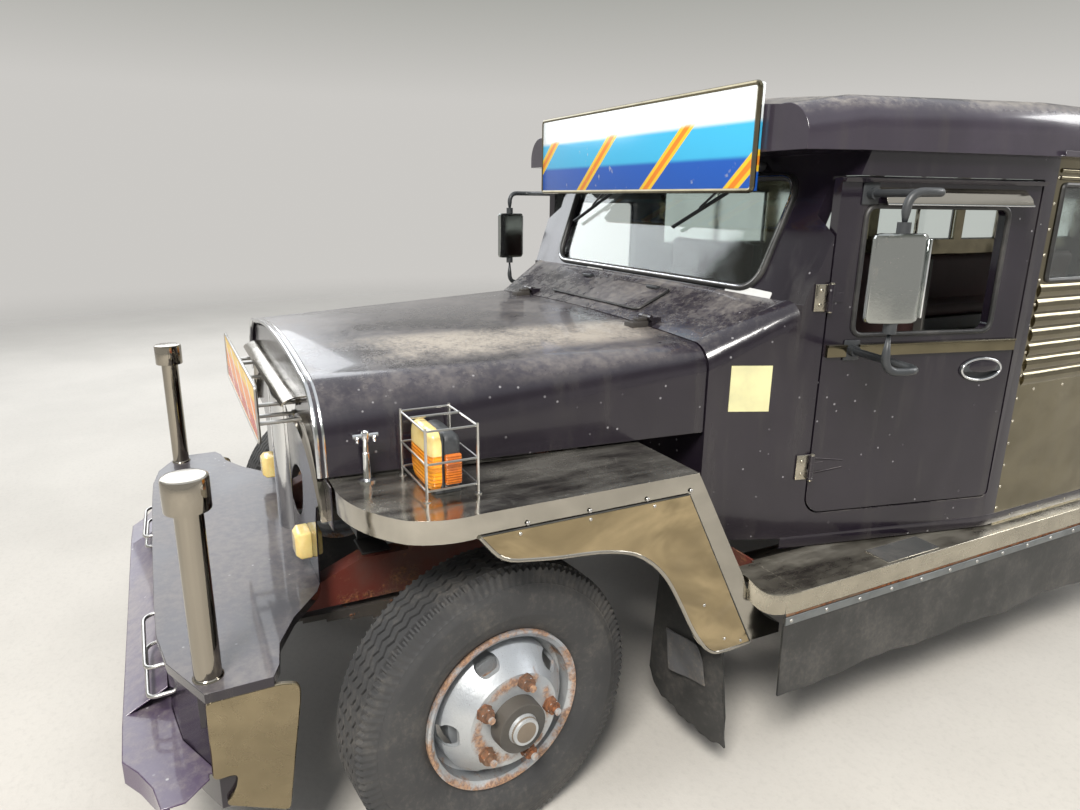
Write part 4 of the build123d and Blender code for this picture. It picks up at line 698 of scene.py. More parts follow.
def rubber(name, base=(0.028, 0.027, 0.027), dust=0.4, gloss=0.62):
    """Aged rubber: grey bloom in clouds, brown dust in finer ones."""
    f = Finish(name)
    cloud = f.noise(6.0, detail=6.0, rough=0.65)
    fine = f.noise(70.0, detail=4.0, rough=0.7)
    colour = f.mix(cloud.above(0.35, 0.7) * 0.6, base, RUBBER_BLOOM)
    dusty = (cloud * 0.6 + fine * 0.6).above(0.56, 0.82) * dust
    colour = f.mix(dusty, colour, RUBBER_DUST)
    return f.end(colour, gloss + 0.25 * dusty, normal=f.bump(fine, 0.0004))


tyre_rubber = rubber("tyre_rubber", base=(0.033, 0.033, 0.034), dust=0.35)
flap_rubber = rubber("flap_rubber", base=(0.022, 0.022, 0.021), dust=0.32, gloss=0.5)
patch_rubber = rubber("patch_rubber", base=(0.085, 0.085, 0.088), dust=0.8, gloss=0.55)
gasket_rubber = rubber("gasket_rubber", base=(0.015, 0.015, 0.015), dust=0.15, gloss=0.45)


def lens(name, colour, deep, pitch=0.0):
    """A tinted lens: light goes a little way in; pitch is the spacing of the ribs in its surface."""
    f = Finish(name)
    cloud = f.noise(20.0, detail=4.0)
    tint = f.mix(cloud.above(0.35, 0.65), colour, deep)
    height = cloud * 0.3
    if pitch:
        height = height + (f.z * (math.tau / pitch)).sine() * 0.5
    return f.end(tint, 0.12 + 0.2 * cloud, normal=f.bump(height, 0.0012), Subsurface_Weight=0.25,
                 Subsurface_Radius=(0.02, 0.01, 0.006), Coat_Weight=0.6)


lens_amber = lens("amber_lens", (0.95, 0.36, 0.01), (0.86, 0.27, 0.008), pitch=0.009)
lens_cream = lens("cream_lens", (0.88, 0.70, 0.30), (0.80, 0.60, 0.22))
lens_side = lens("side_amber_lens", (0.62, 0.17, 0.012), (0.45, 0.10, 0.008), pitch=0.006)
lens_red = lens("red_lens", (0.42, 0.012, 0.01), (0.30, 0.008, 0.006), pitch=0.012)


def moulded(name, base, rough=0.5, grain_size=350.0):
    """Moulded plastic with a fine pebble grain."""
    f = Finish(name)
    grain = f.noise(grain_size, detail=2.0)
    cloud = f.noise(9.0, detail=4.0)
    colour = f.mix(cloud.above(0.4, 0.7) * 0.5, base, tuple(0.6 * c + 0.05 for c in base))
    return f.end(colour, rough + 0.2 * cloud, normal=f.bump(grain, 0.0003))


dash_plastic = moulded("dash_plastic", (0.028, 0.027, 0.027))
housing_plastic = moulded("lamp_housing_plastic", (0.030, 0.033, 0.036), rough=0.32)
label_white = moulded("blank_white_plate", (0.62, 0.62, 0.60), rough=0.45)
label_yellow = moulded("blank_yellow_plate", (0.70, 0.66, 0.36), rough=0.55)


def vinyl(name, base):
    """Seat vinyl: a fine leather-like grain, paler where bodies have rubbed it."""
    f = Finish(name)
    cells = f.node("ShaderNodeTexVoronoi", {"Vector": f.place, "Scale": 420.0}, feature="DISTANCE_TO_EDGE")
    cloud = f.noise(5.0, detail=5.0)
    colour = f.mix(cloud.above(0.45, 0.7) * 0.5, base, tuple(1.5 * c + 0.02 for c in base))
    return f.end(colour, 0.42 + 0.15 * cloud, normal=f.bump(cells.above(0.0, 0.12), 0.0004))


seat_vinyl = vinyl("seat_vinyl", (0.055, 0.022, 0.020))
bench_vinyl = vinyl("bench_vinyl", (0.075, 0.025, 0.022))


# %% Glass
def pane(name, tint, film):
    """Window glass: clear, with a little dust film that scatters."""
    f = Finish(name)
    cloud = f.noise(5.0, detail=6.0, rough=0.7)
    return f.end(tint, 0.02 + film * cloud.above(0.4, 0.8), Transmission_Weight=1.0, IOR=1.45)


window_glass = pane("window_glass", (0.80, 0.88, 0.86), 0.12)
mirror_glass = bright_metal("mirror_glass", (0.80, 0.82, 0.83), 0.01)
mirror_case = bright_metal("mirror_case_chrome", (0.36, 0.375, 0.36), 0.07, pits=0.4)

# %% [markdown]
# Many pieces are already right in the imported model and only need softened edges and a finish. Others are
# placed from it: the two helpers here read where a node lies, and move or turn a finished shape.

# %% Places
def reach(node, side=0):
    """A node's lowest and highest corners; side 1 or -1 keeps only its left or right half."""
    points = vectors(frame["nodes"][node].data.vertices, "co") - (0, AXLE_Y, 0)
    if side:
        points = points[points[:, 0] * side > 0]
    return points.min(axis=0), points.max(axis=0)


def moved(shape, shift):
    """The shape shifted by (x, y, z)."""
    return shape[0] + np.asarray(shift, float), shape[1]


def swung(shape, degrees, axis="z"):
    """The shape turned about the x or z axis through the origin."""
    angle = math.radians(degrees)
    c, s = math.cos(angle), math.sin(angle)
    turn = {"z": [[c, s, 0], [-s, c, 0], [0, 0, 1]], "x": [[1, 0, 0], [0, c, s], [0, -s, c]]}[axis]
    return shape[0] @ np.array(turn), shape[1]


# %% [markdown]
# Tyres. The real ones are 7.00-16 commercial ribs: four zigzag grooves round the tread, short cross cuts all
# round both shoulders, and raised rings on the side walls. One profile is written as rows from the middle of
# the tread to the bead. Each row says how far it follows the zigzag and how deep the cross cuts bite, so the
# whole tyre is one lattice of angle and row, and the pattern is real geometry.

# %% Tyre profile
ZIGZAGS = 60
STEPS_A_ZIGZAG = 8
ZIGZAG_REACH = 0.0048
# Rows: out from the middle plane, radius, share of the zigzag, depth of the cross cuts
TREAD_ROWS = (
    (0.0000, 0.3880, 1, 0), (0.0105, 0.3880, 1, 0), (0.0125, 0.3795, 1, 0), (0.0165, 0.3795, 1, 0),
    (0.0185, 0.3879, 1, 0), (0.0365, 0.3876, 1, 0), (0.0385, 0.3792, 1, 0), (0.0425, 0.3792, 1, 0),
    (0.0445, 0.3874, 1, 0), (0.0600, 0.3869, 0, 0), (0.0612, 0.3868, 0, 0.0072),
    (0.0760, 0.3810, 0, 0.0072), (0.0830, 0.3620, 0, 0.0060), (0.0862, 0.3480, 0, 0.0030),
    (0.0880, 0.3440, 0, 0))
BEAD_ROWS = ((0.0697, 0.2164, 0, 0), (0.0667, 0.2033, 0, 0), (0.0420, 0.2033, 0, 0), (0.0580, 0.2500, 0, 0),
             (0.0800, 0.3100, 0, 0), (0.0580, 0.3660, 0, 0), (0.0300, 0.3720, 0, 0))
WALL_RINGS = (2, 3, 11, 12)


def wall_rows():
    """The side wall: an arc from the shoulder to the flange, with the rows of two rings stood out 1.4 mm."""
    line = arc((0.0885, 0.3430), (0.0980, 0.3000), (0.0850, 0.2360), 17)
    line[:, 0] -= 0.0008
    line[list(WALL_RINGS), 0] += 0.0014
    return np.hstack([line, np.zeros((len(line), 2))])


def tyre_shape():
    """A tyre about the X axis: row (x, r, zigzag, cut) goes to x + zigzag * wave and r - cut * gate.

    The wave is a triangle, 1 - 4|p - 1/2| of the phase p; the gate is 1 in every other half of a zigzag."""
    half = np.vstack([np.array(TREAD_ROWS), wall_rows(), np.array(BEAD_ROWS)])
    other = half[1:][::-1] * (-1, 1, 1, 1)
    rows = np.vstack([half, other])
    count = ZIGZAGS * STEPS_A_ZIGZAG
    turn = np.arange(count) * math.tau / count
    phase = np.arange(count) / STEPS_A_ZIGZAG % 1
    wave = 1 - 4 * abs(phase - 0.5)
    gate = (phase * 2 % 1) >= 0.5
    out = rows[:, 0] + ZIGZAG_REACH * rows[:, 2] * wave[:, None]
    radius = rows[:, 1] - rows[:, 3] * gate[:, None]
    points = np.stack([out, radius * np.sin(turn)[:, None], radius * np.cos(turn)[:, None]], axis=-1)
    return lattice(points, wrap_along=True, wrap_across=True)


# %% Tyres
PARK_STEER = 6.7
KINGPIN_X = 0.640
WHEEL_OUT = 0.175
TWIN_MID_X = 0.738
TWIN_HALF = 0.122
hub_height = reach("front_tyre_left")[1][2] / 2
rear_y = (reach("rear_tyres_left")[0][1] + reach("rear_tyres_left")[1][1]) / 2


def at_front(shape, side):
    """Puts a piece made for the left wheel, its middle plane at x = 0, on a steered front wheel."""
    out = moved(shape, (WHEEL_OUT, 0, 0))
    if side < 0:
        out = mirrored(out)
    return moved(swung(out, PARK_STEER), (side * KINGPIN_X, 0, hub_height))


def at_rear(shape, side):
    """Puts a piece made for the left twin wheels, the seat between the discs at x = 0, on the rear axle."""
    out = moved(shape, (TWIN_MID_X, rear_y, hub_height))
    return out if side > 0 else mirrored(out)


one_tyre = tyre_shape()
twin_tyres = joined(moved(one_tyre, (TWIN_HALF, 0, 0)), moved(swung(one_tyre, 2.1, "x"), (-TWIN_HALF, 0, 0)))
for side, word in SIDES:
    dress("tyre_front_" + word, at_front(one_tyre, side), tyre_rubber, ["front_tyre_" + word],
          "front_wheel_" + word, hard=28)
    dress("tyres_rear_" + word, at_rear(twin_tyres, side), tyre_rubber, ["rear_tyres_" + word],
          "rear_wheels_" + word, hard=28)
print(len(one_tyre[0]), "points a tyre")

# %% [markdown]
# Wheels. The disc, its oval hand holes and the hub keep their packed form. On top come the nuts with their
# chamfers and stud ends, because a plain hexagon would look cut from card, and the turned end of the hub with
# its small grease cap.

# %% Nuts
STUDS = 5
PARK_ROLL = 16.0
DISC_FACE = 0.122
NUT_CORNER = 0.0195
NUT_HIGH = 0.0225
STUD_R = 0.0092
REAR_DISC_FACE = 0.007
# Hubs: seat, length, radius
FRONT_HUB = (DISC_FACE - 0.007, 0.062, 0.0675)
REAR_HUB = (-0.007, 0.110, 0.0675)


def nut(seat):
    """A nut about X: its ring radius is flat / cos(angle from the flat's middle), its top cut round."""
    turn = np.arange(36) * math.tau / 36
    hexagon = NUT_CORNER * math.cos(math.pi / 6) / np.cos(turn % (math.pi / 3) - math.pi / 6)
    top = np.minimum(hexagon, NUT_CORNER * 0.90)
    # Rows: along, radius; first the washer and the nut, then the stud's end
    rings = [(0.0, hexagon + 0.003), (0.003, hexagon + 0.0028), (0.0035, hexagon),
             (0.80 * NUT_HIGH, hexagon), (NUT_HIGH, top), (NUT_HIGH + 0.0002, 0 * turn + STUD_R),
             (NUT_HIGH + 0.012, 0 * turn + STUD_R), (NUT_HIGH + 0.0135, 0 * turn + 0.0070)]
    return stacked([np.stack([0 * turn + seat + along, ring * np.sin(turn), ring * np.cos(turn)], axis=-1)
                    for along, ring in rings])


def nut_ring(seat, roll):
    """Five nuts on the stud circle, the first turned roll degrees back from straight up."""
    one = moved(nut(seat), (0, 0, STUD_CIRCLE))
    return joined(*[swung(one, 360 / STUDS * i - roll, "x") for i in range(STUDS)])


def hub_cap(seat, length, radius):
    """A turned hub: a seam ring at its foot, a tapered barrel and a face sunk round the small cap."""
    line = [(seat + 0.0002, radius + 0.006), (seat + 0.004, radius + 0.006), (seat + 0.006, radius + 0.001),
            (seat + length - 0.022, radius - 0.001), (seat + length - 0.0165, radius - 0.0025),
            (seat + length - 0.0155, radius - 0.005), (seat + length - 0.0170, radius - 0.009),
            (seat + length - 0.0172, radius - 0.028), (seat + length - 0.0172, 0.004)]
    return turned(line, (0, 0, 0), (1, 0, 0), steps=64)


def grease_cap(seat, length, radius):
    """The small pressed cap in the middle of the hub's face: a short barrel with a domed end."""
    end = seat + length
    line = [(end - 0.0172, radius - 0.029), (end - 0.006, radius - 0.031), (end - 0.002, radius - 0.034),
            (end + 0.0006, radius - 0.042), (end + 0.0012, 0.003)]
    return turned(line, (0, 0, 0), (1, 0, 0), steps=48)


front_centre = np.array([KINGPIN_X + WHEEL_OUT * math.cos(math.radians(PARK_STEER)),
                         WHEEL_OUT * math.sin(math.radians(PARK_STEER)), hub_height])
# For each end: its rims, its body, how a piece is put there, the nuts' seat and turn, and the hub
WHEEL_ENDS = (("front", "front_rim_", "front_wheel_", at_front, DISC_FACE, PARK_ROLL, FRONT_HUB),
              ("rear", "rear_rims_", "rear_wheels_", at_rear, REAR_DISC_FACE, 0.0, REAR_HUB))
for side, word in SIDES:
    centres = {"front": (front_centre * (side, side, 1) + (0, AXLE_Y, 0), math.radians(PARK_STEER)),
               "rear": ((0, rear_y + AXLE_Y, hub_height), 0.0)}
    for end, rims, body, put, seat, roll, hub in WHEEL_ENDS:
        refine(rims + word, wheel_paint(f"wheel_paint_{end}_{word}", *centres[end]), bevel=0.0012)
        for part, shape, material in (("nuts", nut_ring(seat, roll), nut_rust),
                                      ("hub_cap", hub_cap(*hub), hub_iron),
                                      ("grease_cap", grease_cap(*hub), cap_brown)):
            dress(f"{part}_{end}_{word}", put(shape, side), material, body=body + word)
print("wheels dressed")

# %% [markdown]
# Underneath and inside: frame, axles, springs, engine block, tank, floor and seat frames. Their packed forms
# are right, so each gets a rounded edge and an aged finish.

# %% Underbody and inside metal
# Rows: finish, then (node, width of its rounded edges) in turn
UNDERBODY = (
    (paint_rail, ("chassis_frame", 0.0015)),
    (iron_greasy, ("front_axle_beam", 0.003), ("knuckle_left", 0.002), ("knuckle_right", 0.002),
     ("tie_rod", 0.001), ("rear_axle", 0.003), ("leaf_springs", 0.001), ("engine_block", 0.008),
     ("drive_line", 0.003)),
    (paint_black, ("radiator", 0.004), ("tank_and_exhaust", 0.003)),
    (steel_floor, ("floor", 0.002), ("seat_frames", 0.003)),
    (paint_black, ("rear_step", 0.003)))
for material, *nodes in UNDERBODY:
    for name, edge in nodes:
        refine(name, material, edge)
print("underbody and floor dressed")

# %% [markdown]
# The front bumper is a boxy shelf of folded sheet with a purple apron under it. Its two posts are turned
# steel with drum caps, and polished plates with rounded corners close its ends.

# %% Bumper
refine("bumper_shelf", paint_bumper, 0.004)
refine("bumper_apron", paint_apron, 0.0025)
POST_PLACE = (0.765, -0.628)
shelf_top = reach("bumper_shelf")[1][2]
post_top = reach("bumper_steel")[1][2]
POST_R = 0.029
CAP_R = 0.047
CAP_HIGH = 0.075


def post():
    """A post and its cap as (height, radius) turned about z: weld bead, tube, cap with rounded edges."""
    low = post_top - CAP_HIGH
    line = [(shelf_top, POST_R + 0.004), (shelf_top + 0.003, POST_R + 0.0035), (shelf_top + 0.006, POST_R),
            (low - 0.001, POST_R), (low, CAP_R - 0.004), (low + 0.001, CAP_R - 0.001), (low + 0.004, CAP_R),
            (post_top - 0.008, CAP_R), (post_top - 0.003, CAP_R - 0.0015), (post_top - 0.0008, CAP_R - 0.005),
            (post_top - 0.0008, CAP_R - 0.009), (post_top, CAP_R - 0.014), (post_top, 0.004)]
    return turned(line, (*POST_PLACE, 0), (0, 0, 1), steps=72)


dress("bumper_posts", both(post()), steel_post, ["bumper_steel"], hard=40)
END_PLATE = ((-0.640, 0.588), (-0.484, 0.588), (-0.446, 0.576), (-0.446, 0.540), (-0.490, 0.248),
             (-0.626, 0.318), (-0.599, 0.350), (-0.592, 0.389), (-0.644, 0.389))
plate_line = rounded_path(END_PLATE, 0.016, closed=True)
dress("bumper_end_plates", both(plate(plate_line, facing_side(0.8165), 0.0135)), steel_plate,
      bevel=0.003)

# %% Grab loops
# Columns: inner x, outer x, height
LOOPS = ((0.270, 0.535, 0.525), (0.320, 0.570, 0.466))
LOOP_R = 0.0052


def loop(inner, outer, height):
    """A U of round bar that stands out of the bumper's face, with soft corners and a slight sag."""
    plan = ((inner, -0.712), (inner, -0.768), (outer, -0.762), (outer, -0.700))
    line = rounded_path([(*place, height) for place in plan], 0.030, 8)
    line[:, 2] -= 0.006 * np.sin(np.linspace(0, math.pi, len(line)))
    return tube(line, LOOP_R, 12)


dress("grab_loops", both(joined(*[loop(*row) for row in LOOPS])), cage_steel,
      ["bumper_loops"])

# %% [markdown]
# The hood is one wide sheet: upright sides, round shoulders and a nearly flat crown, and it widens towards
# the cab. Both end sections are the same three arcs with other numbers. The surface between them is ruled:
# every point of the front section runs straight to its partner at the back.

# %% Hood
def section(side_x, side_z, shoulder, crown, top, inset=0.0, low=None, count=14):
    """Half a section from the middle outwards and down: crown arc, shoulder arc, then the straight side."""
    x_side, z_side = side_x - inset, side_z
    x_mid, z_mid = shoulder[0] - 0.8 * inset, shoulder[1] - 0.6 * inset
    x_top, z_top = crown[0] - 0.2 * inset, crown[1] - inset
    middle = top - inset
    crown_arc = arc((0, middle), (x_top / 2, middle - (middle - z_top) / 4), (x_top, z_top), count)
    shoulder_arc = arc((x_top, z_top), (x_mid, z_mid), (x_side, z_side), count)
    side_line = np.linspace((x_side, z_side), (low[0] - inset, low[1]), 5)
    return np.vstack([crown_arc, shoulder_arc[1:], side_line[1:]])


def whole(half):
    """A half section and its mirror image as one line from the right foot to the left foot."""
    return np.vstack([half[::-1] * (-1, 1), half[1:]])


HOOD_LOW = 0.983
HOOD_FRONT = dict(side_x=0.641, side_z=1.075, shoulder=(0.598, 1.150), crown=(0.470, 1.200), top=1.236)
HOOD_REAR = dict(side_x=0.736, side_z=1.150, shoulder=(0.718, 1.212), crown=(0.655, 1.238), top=1.256)
HOOD_Y = (-0.340, 0.725)
HOOD_FOOT = (0.650, 0.738)
HOOD_THICK = 0.014


def hood_shape():
    """The hood as a closed shell: the outer section and back along the inner one, ruled front to back."""
    rows = []
    for y, numbers, foot in zip(HOOD_Y, (HOOD_FRONT, HOOD_REAR), HOOD_FOOT):
        outer = whole(section(**numbers, low=(foot, HOOD_LOW)))
        inner = whole(section(**numbers, inset=HOOD_THICK, low=(foot, HOOD_LOW)))
        rows.append(at_y(np.vstack([outer, inner[::-1]]), y))
    share = np.linspace(0, 1, 40)[:, None, None]
    return lattice(rows[0] * (1 - share) + rows[1] * share, wrap_across=True, caps=True)


dress("hood_sheet", hood_shape(), paint_hood, ["hood"], "hood", hard=32, bevel=0.003)


def mouth_bead(y, radius, proud):
    """A bright round bead along the hood's front section at y, its middle proud metres out of the sheet."""
    line = whole(section(**HOOD_FRONT, inset=-proud, low=(HOOD_FOOT[0], HOOD_LOW + 0.002)))
    return tube(at_y(line, y), radius, 10, up=(0, 1, 0))


# Columns: y, radius, how far its middle stands out of the sheet
mouth_beads = [mouth_bead(*row) for row in ((-0.3415, 0.0062, -0.0025), (-0.3260, 0.0045, -0.0010))]
dress("hood_mouth_beads", joined(*mouth_beads), chrome, body="hood")

# %% Hood hinges
HINGE_X = 0.420
PIN_YZ = (0.728, 1.275)


def hinge_strap(x):
    """A flat strap on the hood, a link above it and the rolled barrel round the pin."""
    strap = soft_box((x - 0.025, 0.664, 1.240), (x + 0.025, 0.722, 1.2635), 0.002)
    link = soft_box((x - 0.0135, 0.690, 1.2615), (x + 0.0135, 0.729, 1.2735), 0.002)
    barrel = turned([(-0.0138, 0.0030), (-0.0138, 0.0066), (-0.0130, 0.0072), (0.0130, 0.0072),
                     (0.0138, 0.0066), (0.0138, 0.0030)], (x, *PIN_YZ), (1, 0, 0), 24)
    return joined(strap, link, barrel)


dress("hood_hinges", both(hinge_strap(HINGE_X)), iron_greasy, body="hood")

# %% [markdown]
# The nose is an upright panel with a bright bar down its middle, a visor over it, a polished reveal at each
# side, two cream marker lamps and a small sign carried on rods.

# %% Nose
refine("nose_panel", paint_body, 0.0015)
NOSE_Y = reach("nose_panel")[0][1]
BAR_FOOT = reach("nose_trim")[0][2]
BROW_Z = 1.110
SEAT_DEEP = 0.0005


def centre_bar():
    """The upright bar: half an oval, 140 mm wide and 38 mm deep, carried from its foot up to the visor."""
    turn = np.linspace(0, math.pi, 17)
    profile = np.column_stack([0.070 * np.cos(turn), NOSE_Y - 0.038 * np.sin(turn) ** 0.8])
    return stacked([np.column_stack([profile, np.full(17, z)])
                    for z in np.linspace(BAR_FOOT, BROW_Z + 0.002, 8)])


def brow():
    """The visor over the nose: a sheet whose section is a quarter of an oval, 59 mm deep, 22 mm high."""
    turn = np.linspace(0, math.pi / 2, 9)
    outer = np.column_stack([NOSE_Y - 0.059 * np.sin(turn), BROW_Z + 0.022 * np.cos(turn)])
    inner = np.column_stack([NOSE_Y - 0.055 * np.sin(turn), BROW_Z + 0.018 * np.cos(turn)])
    line = np.vstack([outer, inner[::-1]])
    return stacked([np.column_stack([np.full(18, x), line]) for x in np.linspace(-0.430, 0.430, 12)])


def reveal():
    """The polished crescent at the nose's side, between two arcs: it dips 10 mm in its middle."""
    outer = arc((0.300, 1.036), (0.560, 1.036), (0.641, 0.868), 26)
    inner = arc((0.300, 1.030), (0.500, 0.985), (0.634, 0.868), 26)
    share = np.linspace(0, 1, 9)[None, :, None]
    flat = outer[:, None] * (1 - share) + inner[:, None] * share
    out = 0.014 - 0.010 * np.sin(math.pi * share[:, :, 0]) + 0 * flat[:, :, 0]
    front = np.stack([flat[:, :, 0], NOSE_Y - out, flat[:, :, 1]], axis=-1)
    back = np.stack([flat[:, ::-1, 0], NOSE_Y - SEAT_DEEP + 0 * out, flat[:, ::-1, 1]], axis=-1)
    return stacked(np.concatenate([front, back], axis=1))


dress("nose_bar", centre_bar(), chrome, ["nose_trim"])
dress("nose_brow", brow(), steel_post, hard=50)
dress("nose_reveals", both(reveal()), steel_post, hard=50)
LAMP_X = 0.346
LAMP_Z = 0.691


def marker_lamp(x):
    """A boxy lens: square sections that stand out from the panel, the last one smaller by its bevel."""
    # Columns: forward of the panel, half width, half height
    steps = ((0.0002, 0.036, 0.037), (0.004, 0.038, 0.039), (0.029, 0.0375, 0.0385),
             (0.032, 0.0365, 0.0375), (0.0425, 0.0285, 0.0295), (0.0432, 0.0265, 0.0275))
    rings = []
    for forward, wide, high in steps:
        line = frame_line((-wide, -high), (wide, high), 0.007, 5)
        rings.append(at_y(line + (x, LAMP_Z), NOSE_Y - forward))
    back = soft_box((x - 0.035, NOSE_Y + 0.0042, LAMP_Z - 0.036),
                    (x + 0.035, NOSE_Y + 0.030, LAMP_Z + 0.036), 0.008)
    return joined(stacked(rings), back)


dress("marker_lamps", both(marker_lamp(LAMP_X)), lens_cream, ["nose_lamps"],
      hard=40)

# %% Nose sign
SIGN_HALF = 0.420
SIGN_Z = (1.015, 1.165)
SIGN_Y = -0.447
BAR_STEP = 0.21
SIGN_RED = (0.52, 0.030, 0.012)
SIGN_ORANGE = (0.80, 0.22, 0.012)
SIGN_YELLOW = (0.86, 0.52, 0.020)
SIGN_PALE = (0.78, 0.70, 0.56)
SIGN_EDGE = (0.80, 0.44, 0.02)
SIGN_WORN = (0.30, 0.22, 0.16)


def sign_panel():
    """The nose sign's enamel: warm bands, yellow above orange above red, parted by slanted pale bars."""
    f = Finish("nose_sign_enamel")
    height = (f.z - SIGN_Z[0]) / (SIGN_Z[1] - SIGN_Z[0])
    lean = f.x + 0.30 * height
    low = f.mix(height.above(0.28, 0.32), SIGN_RED, SIGN_ORANGE)
    colour = f.mix(height.above(0.66, 0.70), low, SIGN_YELLOW)
    inner = height.above(0.10, 0.13) * (1 - height).above(0.10, 0.13)
    bars = (lean * (math.tau / BAR_STEP)).sine().above(0.80, 0.88) * inner
    colour = f.mix(bars, colour, SIGN_PALE)
    sides = (abs(f.x) - (SIGN_HALF - 0.012)).above(-0.001, 0.001)
    edge = sides.at_least((abs(height - 0.5) - 0.44).above(-0.01, 0.01))
    colour = f.mix(edge, colour, SIGN_EDGE)
    wear = (f.noise(30.0, detail=6.0) + f.noise(5.0, detail=3.0) * 0.5).above(0.92, 1.0) * 0.6
    colour = f.mix(wear, colour, SIGN_WORN)
    return f.end(colour, 0.22 + 0.3 * wear, normal=f.bump(f.noise(30.0), 0.0005))


outline = frame_line((-SIGN_HALF, SIGN_Z[0]), (SIGN_HALF, SIGN_Z[1]), 0.012, 5)
dress("nose_sign_plate", plate(outline, facing_front(SIGN_Y + 0.003), 0.003), sign_panel(),
      ["nose_sign"], bevel=0.001)
frame_edge = rim_tube(outline, SIGN_Y + 0.002, 0.0042)
back_sheet = plate(outline, facing_front(SIGN_Y + 0.0065), 0.003)
SIGN_RODS = ((0.320, 1.090), (0.390, 1.060), (0.250, 1.040))
ROD_NUT = [(0, 0.004), (0, 0.010), (0.006, 0.010), (0.006, 0.004)]
rods = [both(joined(tube([(x, SIGN_Y + 0.006, z), (x, NOSE_Y, z)], 0.0055, 12),
                    turned(ROD_NUT, (x, NOSE_Y - 0.007, z), (0, 1, 0), 6)))
        for x, z in SIGN_RODS]
dress("nose_sign_frame", joined(frame_edge, back_sheet, *rods), cage_steel)
print("front end dressed")

# %% [markdown]
# Fenders are wide flat pans of stainless sheet with an upright band and an overlay skirt, its edge round the
# wheel opening rolled over a wire. Dome screws hold band and skirt, and cages guard the marker lamps.

# %% Fenders
refine("front_fenders", steel_fender, 0.0035)
FENDER_TOP = reach("front_fenders")[1][2]
FENDER_X = reach("front_fenders")[1][0]
SKIRT = ((-0.076, 0.925), (-0.023, 0.857), (0.109, 0.836), (0.222, 0.827), (0.293, 0.812), (0.343, 0.793),
         (0.396, 0.752), (0.438, 0.702), (0.485, 0.618), (0.525, 0.539), (0.574, 0.467), (0.605, 0.442),
         (0.642, 0.438), (0.735, 0.440))
skirt_line = rounded_path(SKIRT, 0.040, 5)
overlay_line = np.vstack([skirt_line, [(0.486, 0.925)]])
dress("skirt_overlays", both(plate(overlay_line, facing_side(FENDER_X), 0.003)), steel_skirt,
      ["fender_skirts"], bevel=0.0012)
dress("rolled_lips", both(tube(at_x(skirt_line, FENDER_X + 0.0005), 0.0055, 10)), steel_fender)
# A thin dark bead along the overlay's top and rear edges: a painted shadow line for the gap's shade
shadow_line_path = [(FENDER_X + 0.0012, y, z) for y, z in ((-0.070, 0.9262), (0.4865, 0.9262), (0.7362, 0.4420))]
dress("skirt_shadow_lines", both(tube(shadow_line_path, 0.0018, 8)), gasket_rubber)


# %% Dome screws
def screw(place, outward, radius=0.0055):
    """A dome head: rings of a flattened ball, standing on the sheet along outward."""
    line = np.array([(0, 1), (0.25, 0.95), (0.5, 0.72), (0.62, 0.35), (0.64, 0.06)])
    return turned(radius * line, place, outward, 12)


BAND_SCREW_Z = FENDER_TOP - 0.042
SKIRT_SCREWS = ((0.02, 0.915), (0.20, 0.915), (0.38, 0.915), (0.56, 0.60), (0.64, 0.478), (0.70, 0.455))
band_screws = [screw((FENDER_X, y, BAND_SCREW_Z), (1, 0, 0)) for y in (0.04, 0.20, 0.36, 0.49)]
band_screws += [screw((0.650 + 0.11 * i, -0.322 + 0.010 * i, BAND_SCREW_Z + 0.016), (0.08 * i, -1, 0))
                for i in range(2)]
skirt_screws = [screw((FENDER_X + 0.003, y, z), (1, 0, 0), 0.0045) for y, z in SKIRT_SCREWS]
dress("fender_screws", both(joined(*band_screws, *skirt_screws)), cage_steel, hard=50)

# %% Cages and latch posts
CAGE = (0.690, 0.874, -0.154, -0.032)
CAGE_TOP = 1.145


def cage():
    """Four thin legs and three rings of wire round the marker lamp."""
    x0, x1, y0, y1 = CAGE
    corners = [(x, y) for x in (x0, x1) for y in (y0, y1)]
    legs = [tube([(x, y, FENDER_TOP), (x, y, CAGE_TOP)], 0.0034, 8, up=(0, 1, 0)) for x, y in corners]
    middle = (x0 + x1) / 2 - 0.02
    cross = tube([(middle, y0, CAGE_TOP - 0.004), (middle, y1, CAGE_TOP - 0.004)], 0.0032, 8)
    foot = [(0, 0.002), (0, 0.009), (0.002, 0.009), (0.0022, 0.003)]
    feet = [turned(foot, (x, y, FENDER_TOP), (0, 0, 1), 16) for x, y in corners]
    rings = []
    for z in (FENDER_TOP + 0.024, FENDER_TOP + 0.086, CAGE_TOP - 0.006):
        line = rounded_path([(x0, y0, z), (x1, y0, z), (x1, y1, z), (x0, y1, z)], 0.006, 4, True)
        rings.append(tube(line, 0.0027, 8, closed=True))
    return joined(*legs, *feet, *rings, cross)


LATCH = (0.690, -0.240)


def latch():
    """The hood's holding post: a foot, a stem in two steps, a cross handle and its two ring eyes."""
    x, y = LATCH
    line = [(0, 0.020), (0.004, 0.020), (0.007, 0.010), (0.070, 0.009), (0.072, 0.0075), (0.100, 0.0072),
            (0.104, 0.0095), (0.120, 0.0095), (0.125, 0.006), (0.1255, 0.001)]
    stem = turned(line, (x, y, FENDER_TOP), (0, 0, 1), 24)
    handle = tube([(x, y - 0.030, FENDER_TOP + 0.112), (x, y + 0.030, FENDER_TOP + 0.112)], 0.0055, 12)
    turn = np.linspace(0, math.tau, 20, endpoint=False)
    ring = np.column_stack([x + 0.009 * np.cos(turn), FENDER_TOP + 0.104 + 0.009 * np.sin(turn)])
    eyes = [rim_tube(ring, y + shift, 0.0022) for shift in (-0.020, 0.020)]
    return joined(stem, handle, *eyes)


